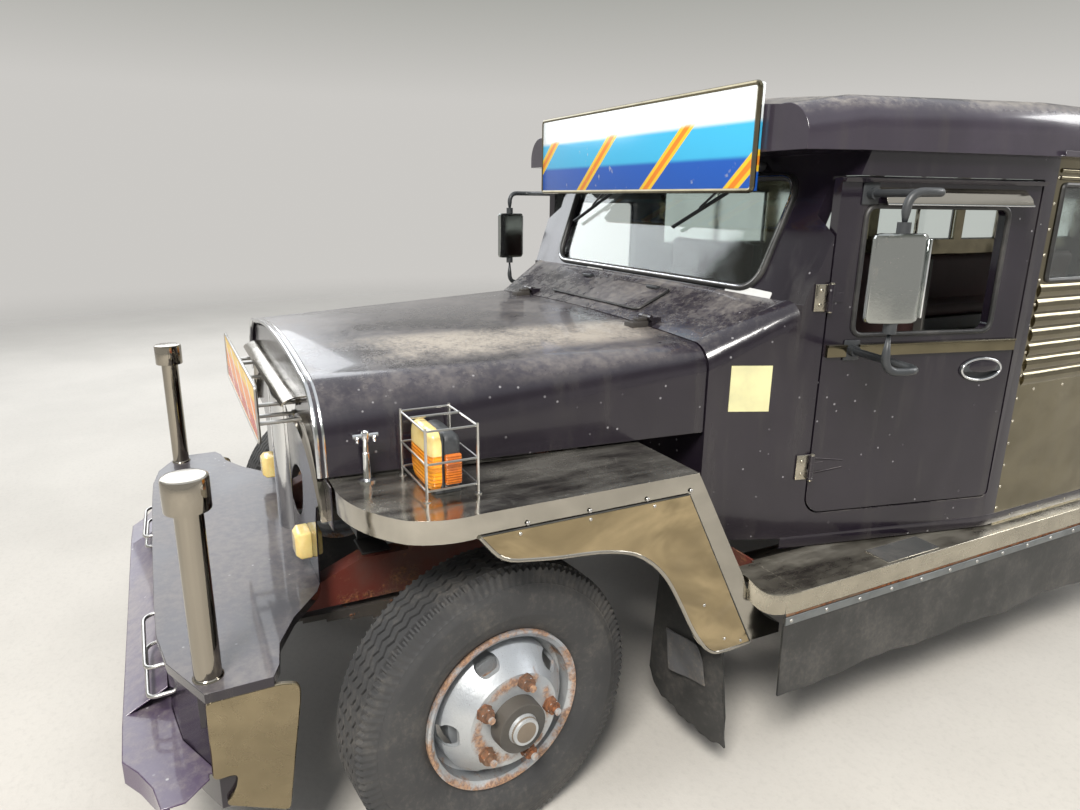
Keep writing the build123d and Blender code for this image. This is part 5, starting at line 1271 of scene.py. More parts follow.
dress("lamp_cages", both(cage()), cage_steel, ["fender_fittings"])
dress("latch_posts", both(latch()), chrome)

# %% Marker lamps on the fenders
# The box of the front lens, and the height where amber changes to cream
LENS_X = (0.706, 0.858)
LENS_Y = (-0.138, -0.112)
LENS_Z = (FENDER_TOP + 0.008, 1.128)
TONE_Z = 1.073


def lens_layer(low, high):
    """One colour of the front lens between two heights: rounded-square sections, the front ones smaller.

    Each section is the whole lens's outline; the part outside this layer is pressed flat on its edge."""
    half_wide, half_high = (LENS_X[1] - LENS_X[0]) / 2, (LENS_Z[1] - LENS_Z[0]) / 2
    middle = np.array(((LENS_X[0] + LENS_X[1]) / 2, (LENS_Z[0] + LENS_Z[1]) / 2))
    # Columns: y, how much smaller than the full outline
    face = LENS_Y[0]
    steps = ((LENS_Y[1], 0.0), (face + 0.012, 0.0), (face + 0.006, 0.0018), (face + 0.002, 0.006),
             (face, 0.013), (face + 0.0002, 0.045))
    rings = []
    for y, less in steps:
        wide, high_half = half_wide - less, half_high - less
        line = frame_line((-wide, -high_half), (wide, high_half), 0.034, 8) + middle
        line[:, 1] = np.clip(line[:, 1], low, high)
        rings.append(at_y(line, y))
    return stacked(rings)


def lamp_housing():
    """The dark case behind the lens, the foot it stands on and the rim round the lens's back."""
    x0, x1 = LENS_X
    back = LENS_Y[1]
    case = soft_box((x0 + 0.004, back - 0.004, FENDER_TOP), (x1 - 0.003, -0.060, 1.121), 0.026, 6)
    foot = soft_box((x0 + 0.012, back - 0.012, FENDER_TOP), (x1 - 0.012, -0.062, FENDER_TOP + 0.010), 0.004)
    rim = soft_box((x0 + 0.001, back - 0.001, LENS_Z[0] + 0.002), (x1 - 0.001, back + 0.005, 1.126), 0.0025)
    return joined(case, foot, rim)


side_lens = soft_box((LENS_X[1] - 0.010, -0.104, 1.002), (LENS_X[1] + 0.004, -0.064, 1.074), 0.0055, 5)
dress("fender_lamp_amber", both(lens_layer(LENS_Z[0], TONE_Z)), lens_amber,
      ["signal_lamps"], hard=50)
dress("fender_lamp_cream", both(lens_layer(TONE_Z, LENS_Z[1])), lens_cream, hard=50)
dress("fender_side_lenses", both(side_lens), lens_side, hard=50)
dress("fender_lamp_housings", both(lamp_housing()), housing_plastic, hard=50)
print("fenders dressed")

# %% [markdown]
# The cab front keeps its packed form. Its glass sits in a rubber bead with a thin bright strip, on a plane
# that leans back, so every piece of the windshield is drawn in (x, z) and put on that plane by one function.

# %% Windshield
refine("cowl", paint_body, 0.003)
RAKE_FOOT = (0.971, 1.352)
RAKE = 0.151 / 0.413
RAKE_OUT = (0, -0.94, 0.34)
GLASS_OUTLINE = ((-0.617, 1.375), (0.617, 1.375), (0.640, 1.700), (-0.640, 1.700))


def on_rake(line, out=0.0):
    """Puts (x, z) points on the windshield's outer plane, out metres in front of it."""
    line = np.asarray(line, float)
    y = RAKE_FOOT[0] + (line[:, 1] - RAKE_FOOT[1]) * RAKE
    return np.column_stack([line[:, 0], y + out * RAKE_OUT[1], line[:, 1] + out * RAKE_OUT[2]])


glass_line = rounded_path(GLASS_OUTLINE, 0.075, 10, True)
wide_line = glass_line + unit(glass_line - (0, 1.54)) * 0.010
gasket = tube(on_rake(wide_line, 0.001), 0.0125, 12, up=RAKE_OUT, closed=True)
dress("windshield_gasket", gasket, gasket_rubber)
strip = tube(on_rake(wide_line, 0.0105), 0.0042, 8, up=RAKE_OUT, closed=True)
dress("windshield_strip", strip, chrome)
refine("windshield_glass", window_glass, 0.0)


# %% Wiper
def wiper(pivot, tip, blade_foot, blade_top):
    """A wiper parked across the glass: a turned pivot, a bent arm and a blade with its rubber."""
    root, end = on_rake([pivot], 0.030)[0], on_rake([tip], 0.022)[0]
    hub = turned([(0, 0.016), (0.010, 0.016), (0.022, 0.011), (0.034, 0.010), (0.036, 0.002)],
                 on_rake([pivot], 0.0)[0], RAKE_OUT, 20)
    arm = tube(rounded_path([root, (root + end) / 2 + (0, -0.012, 0.004), end], 0.06, 6), 0.0042, 8)
    blade = carried([(-0.005, 0), (0.005, 0), (0.002, 0.012), (-0.002, 0.012)],
                    on_rake([blade_foot, blade_top], 0.0055), up=RAKE_OUT)
    return joined(hub, arm, blade)


dress("wipers", joined(wiper((0.47, 1.735), (0.26, 1.600), (0.36, 1.655), (0.13, 1.535)),
                       wiper((-0.24, 1.735), (-0.45, 1.600), (-0.35, 1.655), (-0.58, 1.535))),
      housing_plastic)

# %% Cowl details
VENT_MIDDLE = (0.8425, 1.3067)
VENT_RISE = math.atan2(0.104, 0.234)
VENT_HALF = (0.3015, 0.0715)


def on_vent(u, v, out=0.0):
    """Puts points of the air lid's own plane on the cowl: u across, v up the slope, out from it."""
    c, s = math.cos(VENT_RISE), math.sin(VENT_RISE)
    return np.column_stack([u, VENT_MIDDLE[0] + v * c - out * s, VENT_MIDDLE[1] + v * s + out * c])


vent_line = frame_line([-half for half in VENT_HALF], VENT_HALF, 0.021)
dress("vent_seal", tube(on_vent(*vent_line.T, 0.003), 0.0042, 8, up=(0, 0, 1), closed=True),
      gasket_rubber)
vent_pulls = [soft_box(place - (0.030, 0.010, 0.004), place + (0.030, 0.010, 0.006), 0.003)
              for place in on_vent(np.array((-0.22, 0.22)), np.array((0.060, 0.060)), 0.010)]
dress("vent_hinges", joined(*vent_pulls), housing_plastic, hard=50)

# %% Blank plates
def tag(x, z, wide, high, turn, out=0.0015):
    """A thin blank plate on the windshield plane, turned a few degrees."""
    c, s = math.cos(turn), math.sin(turn)
    corners = np.array([(-wide, -high), (wide, -high), (wide, high), (-wide, high)]) / 2
    line = rounded_path(corners @ np.array([[c, s], [-s, c]]) + (x, z), 0.004, 3, True)
    return stacked([on_rake(line, out), on_rake(line, out + 0.002)])


tags = joined(tag(0.60, 1.345, 0.20, 0.060, -0.04), tag(-0.30, 1.345, 0.12, 0.055, 0.05))
dress("cowl_tags", tags, label_white)
PATCH = ((0.790, 1.045), (0.900, 1.045), (0.900, 1.180), (0.790, 1.180))
# The cowl's side, seen from above, as (x, y) of its two ends
COWL_SIDE = ((0.736, 0.731), (0.833, 0.965))
patch = plate(PATCH, facing_side(0.0), 0.0018)
patch_lean = (COWL_SIDE[1][0] - COWL_SIDE[0][0]) / (COWL_SIDE[1][1] - COWL_SIDE[0][1])
patch[0][:, 0] += COWL_SIDE[0][0] + 0.0015 + (patch[0][:, 1] - COWL_SIDE[0][1]) * patch_lean
dress("cowl_patch", patch, label_yellow)

# %% [markdown]
# Doors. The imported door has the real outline, window and hinges. What makes it a door is the trim: a rubber
# channel round the window, a rain visor's edge, a bright belt strip in two lengths and the oval handle ring.
# All of it is drawn in the door's own directions (out, back along the door, up) and then put on the door.

# %% Door trim
DOOR_FOOT = (0.850, 1.040)
DOOR_TURN = math.atan2(0.150, 0.664)
DOOR_LONG = math.hypot(0.150, 0.664)
DOOR_COS, DOOR_SIN = math.cos(DOOR_TURN), math.sin(DOOR_TURN)
DOOR_OPENING = ((0.092, 1.262), (0.572, 1.622))
OPENING_TOP = DOOR_OPENING[1][1]


def on_door(shape, side=1):
    """Puts a piece drawn as (out, along, up) on the left door, or for side -1 on the right one."""
    points, faces = shape
    out, along, up = points.T
    placed = np.column_stack([DOOR_FOOT[0] + out * DOOR_COS + along * DOOR_SIN,
                              DOOR_FOOT[1] - out * DOOR_SIN + along * DOOR_COS, up])
    return (placed, faces) if side > 0 else mirrored((placed, faces))


window_line = frame_line(*DOOR_OPENING, 0.034)
channel = tube(at_x(window_line, 0.001), 0.0075, 10, up=(1, 0, 0), closed=True)
VISOR_ALONG = (0.118, 0.606)
BELT_Z = (1.201, 1.231)
BELT_OUT = 0.0105
BELT_ALONG = ((0.0135, 0.0755), (0.1165, DOOR_LONG - 0.0115))


def belt_strip(along_0, along_1):
    """A flat bright strip with rolled edges and a ledge on top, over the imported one."""
    low, high, out = BELT_Z[0] - 0.0006, BELT_Z[1] + 0.0006, BELT_OUT
    line = np.array([(0, low), (out - 0.002, low), (out - 0.0006, low + 0.0006), (out, low + 0.002),
                     (out, high - 0.002), (out + 0.004, high), (out + 0.004, high + 0.003),
                     (out + 0.002, high + 0.0045), (0, high + 0.0045)])
    return stacked([at_y(line, y) for y in np.linspace(along_0, along_1, 10)])


belt = joined(*[belt_strip(*span) for span in BELT_ALONG])
visor_edge = tube([(0.0495, along, OPENING_TOP + 0.005) for along in VISOR_ALONG], 0.0026, 8)
gutter = carried([(0.0, -0.004), (0.012, -0.006), (0.018, 0.004), (0.015, 0.004), (0.011, -0.002), (0, 0.0)],
                 [(0.002, 0.004, 1.690), (0.002, DOOR_LONG - 0.004, 1.690)])
HANDLE_ALONG = 0.566
HANDLE_Z = 1.143
HANDLE_HALF = (0.076, 0.038)


def handle_ring():
    """The handle's bright surround: a bead swept round an oval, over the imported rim."""
    turn = np.linspace(0, math.tau, 56, endpoint=False)
    line = np.column_stack([HANDLE_ALONG + (HANDLE_HALF[0] - 0.0045) * np.cos(turn),
                            HANDLE_Z + (HANDLE_HALF[1] - 0.0045) * np.sin(turn)])
    return tube(at_x(line, 0.0046), 0.0040, 10, up=(1, 0, 0), closed=True)


def paddle():
    """The pull: an oval tongue that covers the dish's upper two thirds, bowed 4 mm."""
    turn = np.linspace(0, math.tau, 40, endpoint=False)
    rings = []
    for out, share in ((0.0005, 1.0), (0.0050, 0.99), (0.0072, 0.90), (0.0088, 0.60), (0.0094, 0.10)):
        along = HANDLE_ALONG + 0.004 + 0.058 * share * np.cos(turn)
        up = 0.009 + 0.020 * share * np.sin(turn)
        rings.append(np.column_stack([np.full(40, out), along, HANDLE_Z + up]))
    return stacked(rings)


HINGE_HEIGHTS = (0.868, 1.372)


def hinge_face(z):
    """A hinge leaf's plate with two screws on the pillar, and the pin's rounded ends."""
    leaf = soft_box((0.0035, -0.044, z - 0.038), (0.0062, -0.006, z + 0.038), 0.0012)
    screws = [screw((0.006, -0.026, z + shift), (1, 0, 0), 0.006) for shift in (-0.020, 0.020)]
    cap = [(0, 0.0075), (0.003, 0.0068), (0.005, 0.004), (0.0052, 0.001)]
    ends = [turned(cap, (0.011, 0.003, z + end * 0.038), (0, 0, end), 16) for end in (-1, 1)]
    return joined(leaf, *screws, *ends)


def door_out(at, side):
    """How far points stand out of a door's face."""
    return (side * at[:, 0] - DOOR_FOOT[0]) * DOOR_COS - (at[:, 1] - DOOR_FOOT[1]) * DOOR_SIN


def handle_share(at, side):
    """Where points lie in the handle's oval: 0 at its middle, 1 on its rim, and large away from the face."""
    along = (side * at[:, 0] - DOOR_FOOT[0]) * DOOR_SIN + (at[:, 1] - DOOR_FOOT[1]) * DOOR_COS
    share = np.hypot((along - HANDLE_ALONG) / HANDLE_HALF[0], (at[:, 2] - HANDLE_Z) / HANDLE_HALF[1])
    return share + 9 * (door_out(at, side) < -0.012)


def door_lines():
    """Two thin embossed lines that run back from the lower hinge and draw together."""
    ends = ((0.892, 0.880), (0.846, 0.858))
    return joined(*[tube([(0.0005, 0.020, low), (0.0005, 0.115, high)], 0.0024, 8) for low, high in ends])


def door_tests(side):
    """Two tests of face middles on a door: in the rain visor, and in the handle's dish, whose dark finish is
    painted shade.
    """
    def in_visor(at):
        """Stands out of the door above the window."""
        return (door_out(at, side) > 0.004) & (at[:, 2] > OPENING_TOP + 0.003) & (at[:, 2] < 1.675)

    def in_shaded_dish(at):
        """Lies inside the handle's oval."""
        return handle_share(at, side) < 1.001

    return in_visor, in_shaded_dish


# Rows: name, shape, material, slot, angle of the hard edges
DOOR_TRIM = (("window_channel_", channel, gasket_rubber, "rubber", 35),
             ("visor_edge_", visor_edge, chrome, "stainless", 35),
             ("belt_strip_", belt, steel_rib, "stainless", 30),
             ("drip_rail_", gutter, paint_body, "body_paint", 35),
             ("handle_ring_", handle_ring(), chrome, "stainless", 50),
             ("handle_paddle_", paddle(), paint_gloss, "body_paint", 50),
             ("door_lines_", door_lines(), paint_body, "body_paint", 35))
for side, word in SIDES:
    door = refine("door_" + word, paint_body, 0.0025)
    in_visor, in_shaded_dish = door_tests(side)
    # The handle's dish gets the dark plastic finish as painted shade in its recess
    retouch(door, (steel_post, in_visor), (housing_plastic, in_shaded_dish))
    for name, shape, material, slot, hard in DOOR_TRIM:
        dress(name + word, on_door(shape, side), material, body="door_" + word, hard=hard)
hinge_faces = on_door(joined(*[hinge_face(z) for z in HINGE_HEIGHTS]))
dress("hinge_leaves", both(hinge_faces), steel_board)

# %% Mirrors
MIRROR_BOX = ((0.262, -0.090, 1.345), (0.300, 0.060, 1.560))
# Where the arms meet the head and the door, as (out, along), and the heights of their two feet
ARM_HEAD = (0.281, -0.015)
ARM_DOOR = (0.0, 0.096)
ARM_BEND = (ARM_HEAD[0], ARM_DOOR[1])
ARM_HIGH = 1.655
ARM_LOW = 1.219
# The head's plan (out, along): its outer face is two flats that meet in an upright crease
MIRROR_PLAN = ((0.264, -0.086), (0.283, -0.089), (0.2995, -0.030), (0.2992, 0.034), (0.288, 0.057),
               (0.268, 0.059), (0.262, 0.052))


def mirror_head():
    """The housing: its plan stacked in height, shrunk towards both ends, so that every edge is round."""
    plan = rounded_path(MIRROR_PLAN, 0.007, 5, True)
    middle = plan.mean(axis=0)
    low, high = MIRROR_BOX[0][2], MIRROR_BOX[1][2]
    # Columns: distance from the end, share of the plan
    ends = ((0.0, 0.80), (0.0015, 0.90), (0.005, 0.965), (0.012, 1.0))
    rings = [(low + d, s) for d, s in ends] + [(high - d, s) for d, s in ends[::-1]]
    points = []
    for z, share in rings:
        line = middle + (plan - middle) * share
        points.append(np.column_stack([line, np.full(len(line), z)]))
    return stacked(points)


def mirror_arms():
    """Bent pipes from the door to the head's top and bottom, with collars where they are clamped."""
    top = rounded_path([(*ARM_DOOR, ARM_HIGH), (*ARM_BEND, ARM_HIGH + 0.001), (*ARM_HEAD, ARM_HIGH + 0.001),
                        (*ARM_HEAD, MIRROR_BOX[1][2] - 0.008)], 0.045, 8)
    low = rounded_path([(*ARM_HEAD, MIRROR_BOX[0][2] + 0.005), (*ARM_HEAD, ARM_LOW), (*ARM_BEND, ARM_LOW),
                        (*ARM_DOOR, ARM_LOW)], 0.045, 8)
    collar = [(0, 0.004), (0, 0.016), (0.026, 0.016), (0.026, 0.004)]
    seats = (((*ARM_HEAD, MIRROR_BOX[1][2]), (0, 0, 1)), ((*ARM_HEAD, MIRROR_BOX[0][2] - 0.026), (0, 0, 1)),
             ((*ARM_DOOR, ARM_HIGH), (1, 0, 0)), ((*ARM_DOOR, ARM_LOW), (1, 0, 0)))
    collars = [turned(collar, place, way, 20) for place, way in seats]
    feet = [soft_box((0.0, 0.070, z - 0.030), (0.006, 0.122, z + 0.030), 0.0028) for z in (ARM_HIGH, ARM_LOW)]
    return joined(tube(top, 0.0105, 14), tube(low, 0.0105, 14), *collars, *feet)


def mirror_plate():
    """The glass, on the face that looks back."""
    low, high = (np.array(c) for c in MIRROR_BOX)
    return soft_box((low[0] + 0.004, high[1] - 0.004, low[2] + 0.012),
                    (high[0] - 0.004, high[1] + 0.0006, high[2] - 0.012), 0.002)


for side, word in SIDES:
    door = "door_" + word
    dress("mirror_head_" + word, on_door(mirror_head(), side), mirror_case,
          ["mirror_" + word], door, hard=18)
    dress("mirror_arms_" + word, on_door(mirror_arms(), side), housing_plastic,
          body=door, hard=50)
    dress("mirror_glass_" + word, on_door(mirror_plate(), side), mirror_glass, body=door)

# %% [markdown]
# Route board and roof. The board's face is enamel in bands of sky colours with slanted stripes, a design of
# its own. The roof is dark sheet with lapped seams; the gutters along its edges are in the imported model.

# %% Route board
BOARD_Z = (1.652, 1.955)
STRIPE_STEP = 0.44
BOARD_BLUE = (0.012, 0.09, 0.42)
BOARD_CYAN = (0.05, 0.42, 0.68)
BOARD_WHITE = (0.72, 0.76, 0.76)
BOARD_YELLOW = (0.82, 0.52, 0.03)
BOARD_ORANGE = (0.75, 0.22, 0.02)
BOARD_WORN = (0.42, 0.42, 0.42)


def board_panel():
    """The route board's enamel: white over cyan over blue, with slanted yellow and orange stripes."""
    f = Finish("route_board_enamel")
    height = (f.z - BOARD_Z[0]) / (BOARD_Z[1] - BOARD_Z[0])
    lean = f.x - 0.35 * height
    colour = f.mix(height.above(0.30, 0.36), BOARD_BLUE, BOARD_CYAN)
    colour = f.mix(height.above(0.62, 0.68), colour, BOARD_WHITE)
    stripe = (lean * (math.tau / STRIPE_STEP)).sine()
    colour = f.mix(stripe.above(0.86, 0.90) * (1 - height).above(0.30, 0.36), colour, BOARD_YELLOW)
    colour = f.mix(stripe.above(0.975, 0.985) * (1 - height).above(0.30, 0.36), colour, BOARD_ORANGE)
    wear = (f.noise(24.0, detail=6.0) + 0.5 * f.noise(4.0, detail=3.0)).above(0.93, 1.02) * 0.7
    colour = f.mix(wear, colour, BOARD_WORN)
    return f.end(colour, 0.20 + 0.3 * wear, normal=f.bump(f.noise(20.0), 0.0006))


sign_low, sign_high = reach("route_sign")
board = soft_box(sign_low + (0.006, 0.003, 0.006), sign_high - (0.006, 0.004, 0.006), 0.004)
dress("route_board", board, board_panel(), ["route_sign"])
RIM_R = 0.008
rim = frame_line((sign_low[0] + RIM_R, sign_low[2] + RIM_R), (sign_high[0] - RIM_R, sign_high[2] - RIM_R),
                 0.014, 5)
dress("route_board_frame", rim_tube(rim, sign_low[1] + RIM_R, RIM_R), steel_rib)

# %% Roof
refine("roof", paint_roof, 0.006, hard=25)
ROOF_TOP = reach("roof")[1][2]
ROOF_HALF = 1.030


def roof_seam(y):
    """A lapped seam across the roof: a low bead on the roof's own section at y."""
    w, t = ROOF_HALF, ROOF_TOP
    crown = arc((-w + 0.110, t - 0.038), (0, t), (w - 0.110, t - 0.038), 24)
    left = arc((w, 1.805), (w - 0.018, t - 0.075), (w - 0.110, t - 0.038), 8)
    line = np.vstack([left * (-1, 1), crown[1:-1], left[::-1]])
    return carried([(-0.014, -0.001), (0.014, -0.001), (0.012, 0.0022), (-0.012, 0.0022)], at_y(line, y))


seams = joined(*[roof_seam(y) for y in (2.30, 3.15, 4.00, 4.85)])
dress("roof_seams", seams, paint_roof, hard=50)

# %% [markdown]
# The long sides are stainless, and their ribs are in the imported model. Here each window gets its rubber frame
# and a bright post, and rivets run along the sheet's seams.

# %% Sides
BODY_X = 1.000
# A rounded edge would fold the long flat round the wheel arch over itself, so the sides keep their sharp ones
for word in ("left", "right"):
    refine("side_" + word, steel_rib, 0.0)
WINDOWS = ((1.800, 2.520), (2.600, 3.360), (3.440, 4.200), (4.280, 5.040), (5.120, 5.600))
WINDOW_Z = (1.408, 1.690)


def window_frame(y0, y1):
    """A rubber bead round a window."""
    line = frame_line((y0, WINDOW_Z[0]), (y1, WINDOW_Z[1]), 0.012, 4)
    return tube(at_x(line, BODY_X + 0.001), 0.0075, 8, up=(1, 0, 0), closed=True)


window_frames = joined(*[window_frame(*row) for row in WINDOWS])
dress("window_frames", both(window_frames), gasket_rubber)
refine("side_glass", window_glass, 0.0)
bars = [soft_box((BODY_X - 0.030, middle - 0.011, WINDOW_Z[0]), (BODY_X - 0.010, middle + 0.011, WINDOW_Z[1]),
                 0.003) for middle in [(y0 + y1) / 2 for y0, y1 in WINDOWS]]
dress("window_posts", both(joined(*bars)), steel_post)
refine("rear_frame", paint_body, 0.004)
rivets = [screw((BODY_X, 1.768, z), (1, 0, 0), 0.005) for z in np.arange(0.66, 1.72, 0.075)]
rivets += [screw((BODY_X, y, z), (1, 0, 0), 0.005)
           for y in np.arange(1.85, 5.66, 0.16) for z in (0.622, 1.058)]
dress("side_rivets", both(joined(*rivets)), steel_board, hard=50)


# %% Tail lamps
def tail_lens():
    """A pressed lens: a rounded block whose face stands out of its rim."""
    low, high = reach("tail_lamps", 1)
    return soft_box(low + (0.004, 0, 0.004), high - (0.004, 0.002, 0.004), 0.012, 5)


def tail_rim():
    """The thin bright rim round a tail lamp."""
    low, high = reach("tail_lamps", 1)
    line = frame_line((low[0], low[2]), (high[0], high[2]), 0.014, 5)
    return rim_tube(line, low[1] + 0.006, 0.006)


dress("tail_lenses", both(tail_lens()), lens_red, ["tail_lamps"])
dress("tail_rims", both(tail_rim()), chrome)
print("body dressed")

# %% [markdown]
# Running boards: a stainless tread with a rolled outer band, a ribbed mat under each door, and below the band
# a galvanised strip that clamps a long rubber skirt. Old rubber never hangs flat, so the skirt is a sheet
# with slow waves, and its lower edge is ragged by a sum of sines.

# %% Running boards
refine("running_boards", steel_board, 0.004)
BOARD_EDGE = reach("running_boards", 1)[1][0]
MAT = ((0.955, 1.210), (1.038, 1.440))
MAT_TOP = 0.603


def ribbed_mat():
    """A rubber mat whose top is 1.4 mm ribs along the board."""
    x = np.linspace(MAT[0][0], MAT[1][0], 84)
    z = MAT_TOP + 0.0014 * (np.arange(84) % 4 < 2)
    z[[0, -1]] = MAT_TOP
    top = np.column_stack([x, z])
    line = np.vstack([top, [(MAT[1][0], MAT_TOP - 0.004), (MAT[0][0], MAT_TOP - 0.004)]])
    return stacked([at_y(line, MAT[0][1]), at_y(line, MAT[1][1])])


dress("step_mats", both(ribbed_mat()), flap_rubber, hard=40)
BOARD_BAND = 0.060
FENDER_WIDE = 0.990
# The board's nose from the side, (y, z): flat, then up along the fender's slope
NOSE_LINE = ((0.8505, 0.6000), (0.8200, 0.6000), (0.7900, 0.6003), (0.7660, 0.6020), (0.7460, 0.6075),
             (0.7300, 0.6170), (0.7190, 0.6290), (0.7110, 0.6420))


def board_nose():
    """The board's front end: its sheet runs on to the fender's slope and turns up along it in a round bend.

    Rows go from the board forwards; across, each row runs from the body out to the rounded corner and then
    down the band. The corner is a quarter circle between the fender's width and the board's."""
    turn = np.linspace(0, math.pi / 2, 8)
    edge = FENDER_WIDE + (BOARD_EDGE - FENDER_WIDE) * np.cos(turn)
    rows = []
    for (y, z), out in zip(NOSE_LINE, edge):
        x = np.linspace(0.862, out - 0.004, 9)
        top = np.column_stack([x, np.full(9, z)])
        drop = [(out - 0.0012, z - 0.0012), (out, z - 0.004), (out, z - BOARD_BAND),
                (out - 0.003, z - BOARD_BAND)]
        under = np.column_stack([x[::-1], np.full(9, z - 0.004)])
        rows.append(at_y(np.vstack([top, drop, under]), y))
    return stacked(rows)


dress("board_noses", both(board_nose()), steel_board, hard=40)

# %% Sill
SILL_LINE = ((0.8345, 0.972), (0.8512, 1.046), (1.0005, 1.707), (1.0005, 3.170))


def sill_flange():
    """The body sheet's lower flange: it follows the cab's plan and closes the gap down to the board."""
    path = rounded_path(SILL_LINE, 0.030, 4)
    heights = np.array((0.6415, 0.6395, 0.6120, 0.6060, 0.6030))
    lean = np.array((0.0008, 0.0016, 0.0016, 0.0002, -0.0060))
    _, side, _ = path_axes(np.column_stack([path, np.zeros(len(path))]), (0, 0, 1))
    outward = side[:, :2] * np.sign(side[:, :1])
    front = path[:, None, :] + outward[:, None, :] * lean[None, :, None]
    back = path[:, None, :] + outward[:, None, :] * (lean[None, ::-1, None] - 0.003)
    z = np.broadcast_to(np.concatenate([heights, heights[::-1]]), (len(path), 10))
    return stacked(np.dstack([np.concatenate([front, back], axis=1), z]))


dress("sill_flanges", both(sill_flange()), paint_body, hard=40)
SKIRT_Y = (0.800, 3.160)
STRIP_Z = (0.506, 0.530)
clamp_strip = soft_box((BOARD_EDGE - 0.0025, SKIRT_Y[0], STRIP_Z[0]),
                       (BOARD_EDGE + 0.0012, SKIRT_Y[1], STRIP_Z[1]), 0.0012)
strip_rivets = [screw((BOARD_EDGE + 0.001, y, 0.518), (1, 0, 0), 0.0058)
                for y in np.arange(0.82, 3.14, 0.135)]
dress("clamp_strips", both(clamp_strip), galvanised, hard=50)
dress("clamp_rivets", both(joined(*strip_rivets)), cage_steel, hard=50)
rust_line = soft_box((BOARD_EDGE - 0.010, SKIRT_Y[0] + 0.004, STRIP_Z[1] - 0.001),
                     (BOARD_EDGE - 0.0035, SKIRT_Y[1], STRIP_Z[1] + 0.011), 0.002)
dress("board_rust_lines", both(rust_line), nut_rust, hard=50)


# %% Rubber skirts and flaps
def rag(t, seed, size):
    """A ragged edge: four sines whose lengths shrink, their phases from the seed."""
    total = sum(np.sin(t * (3.1 * k * k + seed) + 2.3 * seed * k) / k for k in range(1, 5))
    return size * total / 2


def hanging(across, heights, out, sway, seed, thick=0.006):
    """A hanging sheet: across by height, out = sway * waves that grow downwards; a lower row is ragged."""
    t = np.linspace(0, 1, 60)[:, None]
    d = np.linspace(0, 1, 16)[None, :]
    long = across[1] - across[0]
    low = heights[0] + rag(t * long * 3, seed, 0.010)
    z = heights[1] + (low - heights[1]) * d
    wave = np.sin(t * long * 7 + seed) + 0.5 * np.sin(t * long * 17 + 2 * seed)
    depth = out + sway * d ** 1.5 * wave
    front = np.stack([depth, across[0] + long * t + 0 * d, z], axis=-1)
    back = front[:, ::-1] - (thick, 0, 0)
    return stacked(np.concatenate([front, back], axis=1))


skirt_x = BOARD_EDGE - 0.0045
skirt = hanging(SKIRT_Y, (0.282, 0.578), skirt_x, 0.005, 1.3)
dress("board_skirts", both(skirt), flap_rubber, ["rubber_flaps"])


def facing_back(shape, y):
    """Turns a sheet drawn as (out, across, up) to hang across the vehicle at y."""
    points, faces = shape
    return np.column_stack([points[:, 1], y + points[:, 0], points[:, 2]]), faces


FLAP_TOP = 0.770
FLAP_FOOT = 0.150
FLAP_Y = 0.613


def mud_flap():
    """The flap behind a front wheel: it widens downwards, its lower inner corner is round, its edge is torn.

    t runs from the inner edge to the outer one and d downwards; the outer edge swings back."""
    t = np.linspace(0, 1, 44)[:, None]
    d = np.linspace(0, 1, 26)[None, :]
    scallop = 0.007 * abs(np.sin(d * 15.0)) * (d > 0.45)
    inner = 0.742 - 0.062 * d
    outer = 0.979 + 0.018 * d - scallop
    x = inner + (outer - inner) * t
    corner = 0.050 * np.clip(1 - t / 0.16, 0, 1) ** 2
    foot = FLAP_FOOT - 0.042 * t + corner + 0.004 * np.sin(t * 21) + 0.003 * np.sin(t * 47 + 1)
    z = FLAP_TOP + (foot - FLAP_TOP) * d
    y = FLAP_Y + 0.052 * t ** 2 * d + 0.006 * d * np.sin(t * 5 + 1) + 0.010 * d ** 2
    front = np.stack([x, y + 0 * x, z], axis=-1)
    back = front[:, ::-1] + (0, 0.006, 0)
    return stacked(np.concatenate([front, back], axis=1))


PATCH_MIDDLE = (0.855, 0.345)
PATCH_HALF = (0.072, 0.062)
PATCH_TURN = 0.21


def flap_patch():
    """The worn patch on the flap: a square of paler sheet, turned 12 degrees, one corner folded over."""
    u = np.linspace(-1, 1, 13)[:, None]
    v = np.linspace(-1, 1, 13)[None, :]
    c, s = math.cos(PATCH_TURN), math.sin(PATCH_TURN)
    x = PATCH_MIDDLE[0] + PATCH_HALF[0] * (u * c - v * s)
    z = PATCH_MIDDLE[1] + PATCH_HALF[1] * (u * s + v * c)
    bend = 0.016 * np.clip(u + v - 0.9, 0, 2) ** 1.5 + 0.003 * np.sin(3 * u + 2 * v)
    t = (x - 0.700) / 0.285
    y = FLAP_Y - 0.0045 + 0.030 * t ** 2 - bend
    front = np.stack([x, y, z], axis=-1)
    back = front[:, ::-1] + (0, 0.004, 0)
    return stacked(np.concatenate([front, back], axis=1))


rear_mud = facing_back(hanging((0.522, 0.958), (0.206, 0.628), 0.0, 0.008, 3.4), 4.221)
dress("mud_flaps", both(mud_flap()), flap_rubber)
dress("flap_patches", both(flap_patch()), patch_rubber)
dress("rear_mud_flaps", both(rear_mud), flap_rubber)

# %% [markdown]
# Seats. Front pads and the long passenger benches are vinyl over foam. A pad starts as a soft box a little
# smaller than its place, is remeshed into even quads and swollen by a short cloth simulation with air
# pressure, and how far a point may move is capped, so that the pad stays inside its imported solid.

# %% Swollen pads
CLOTH_STEPS = 20


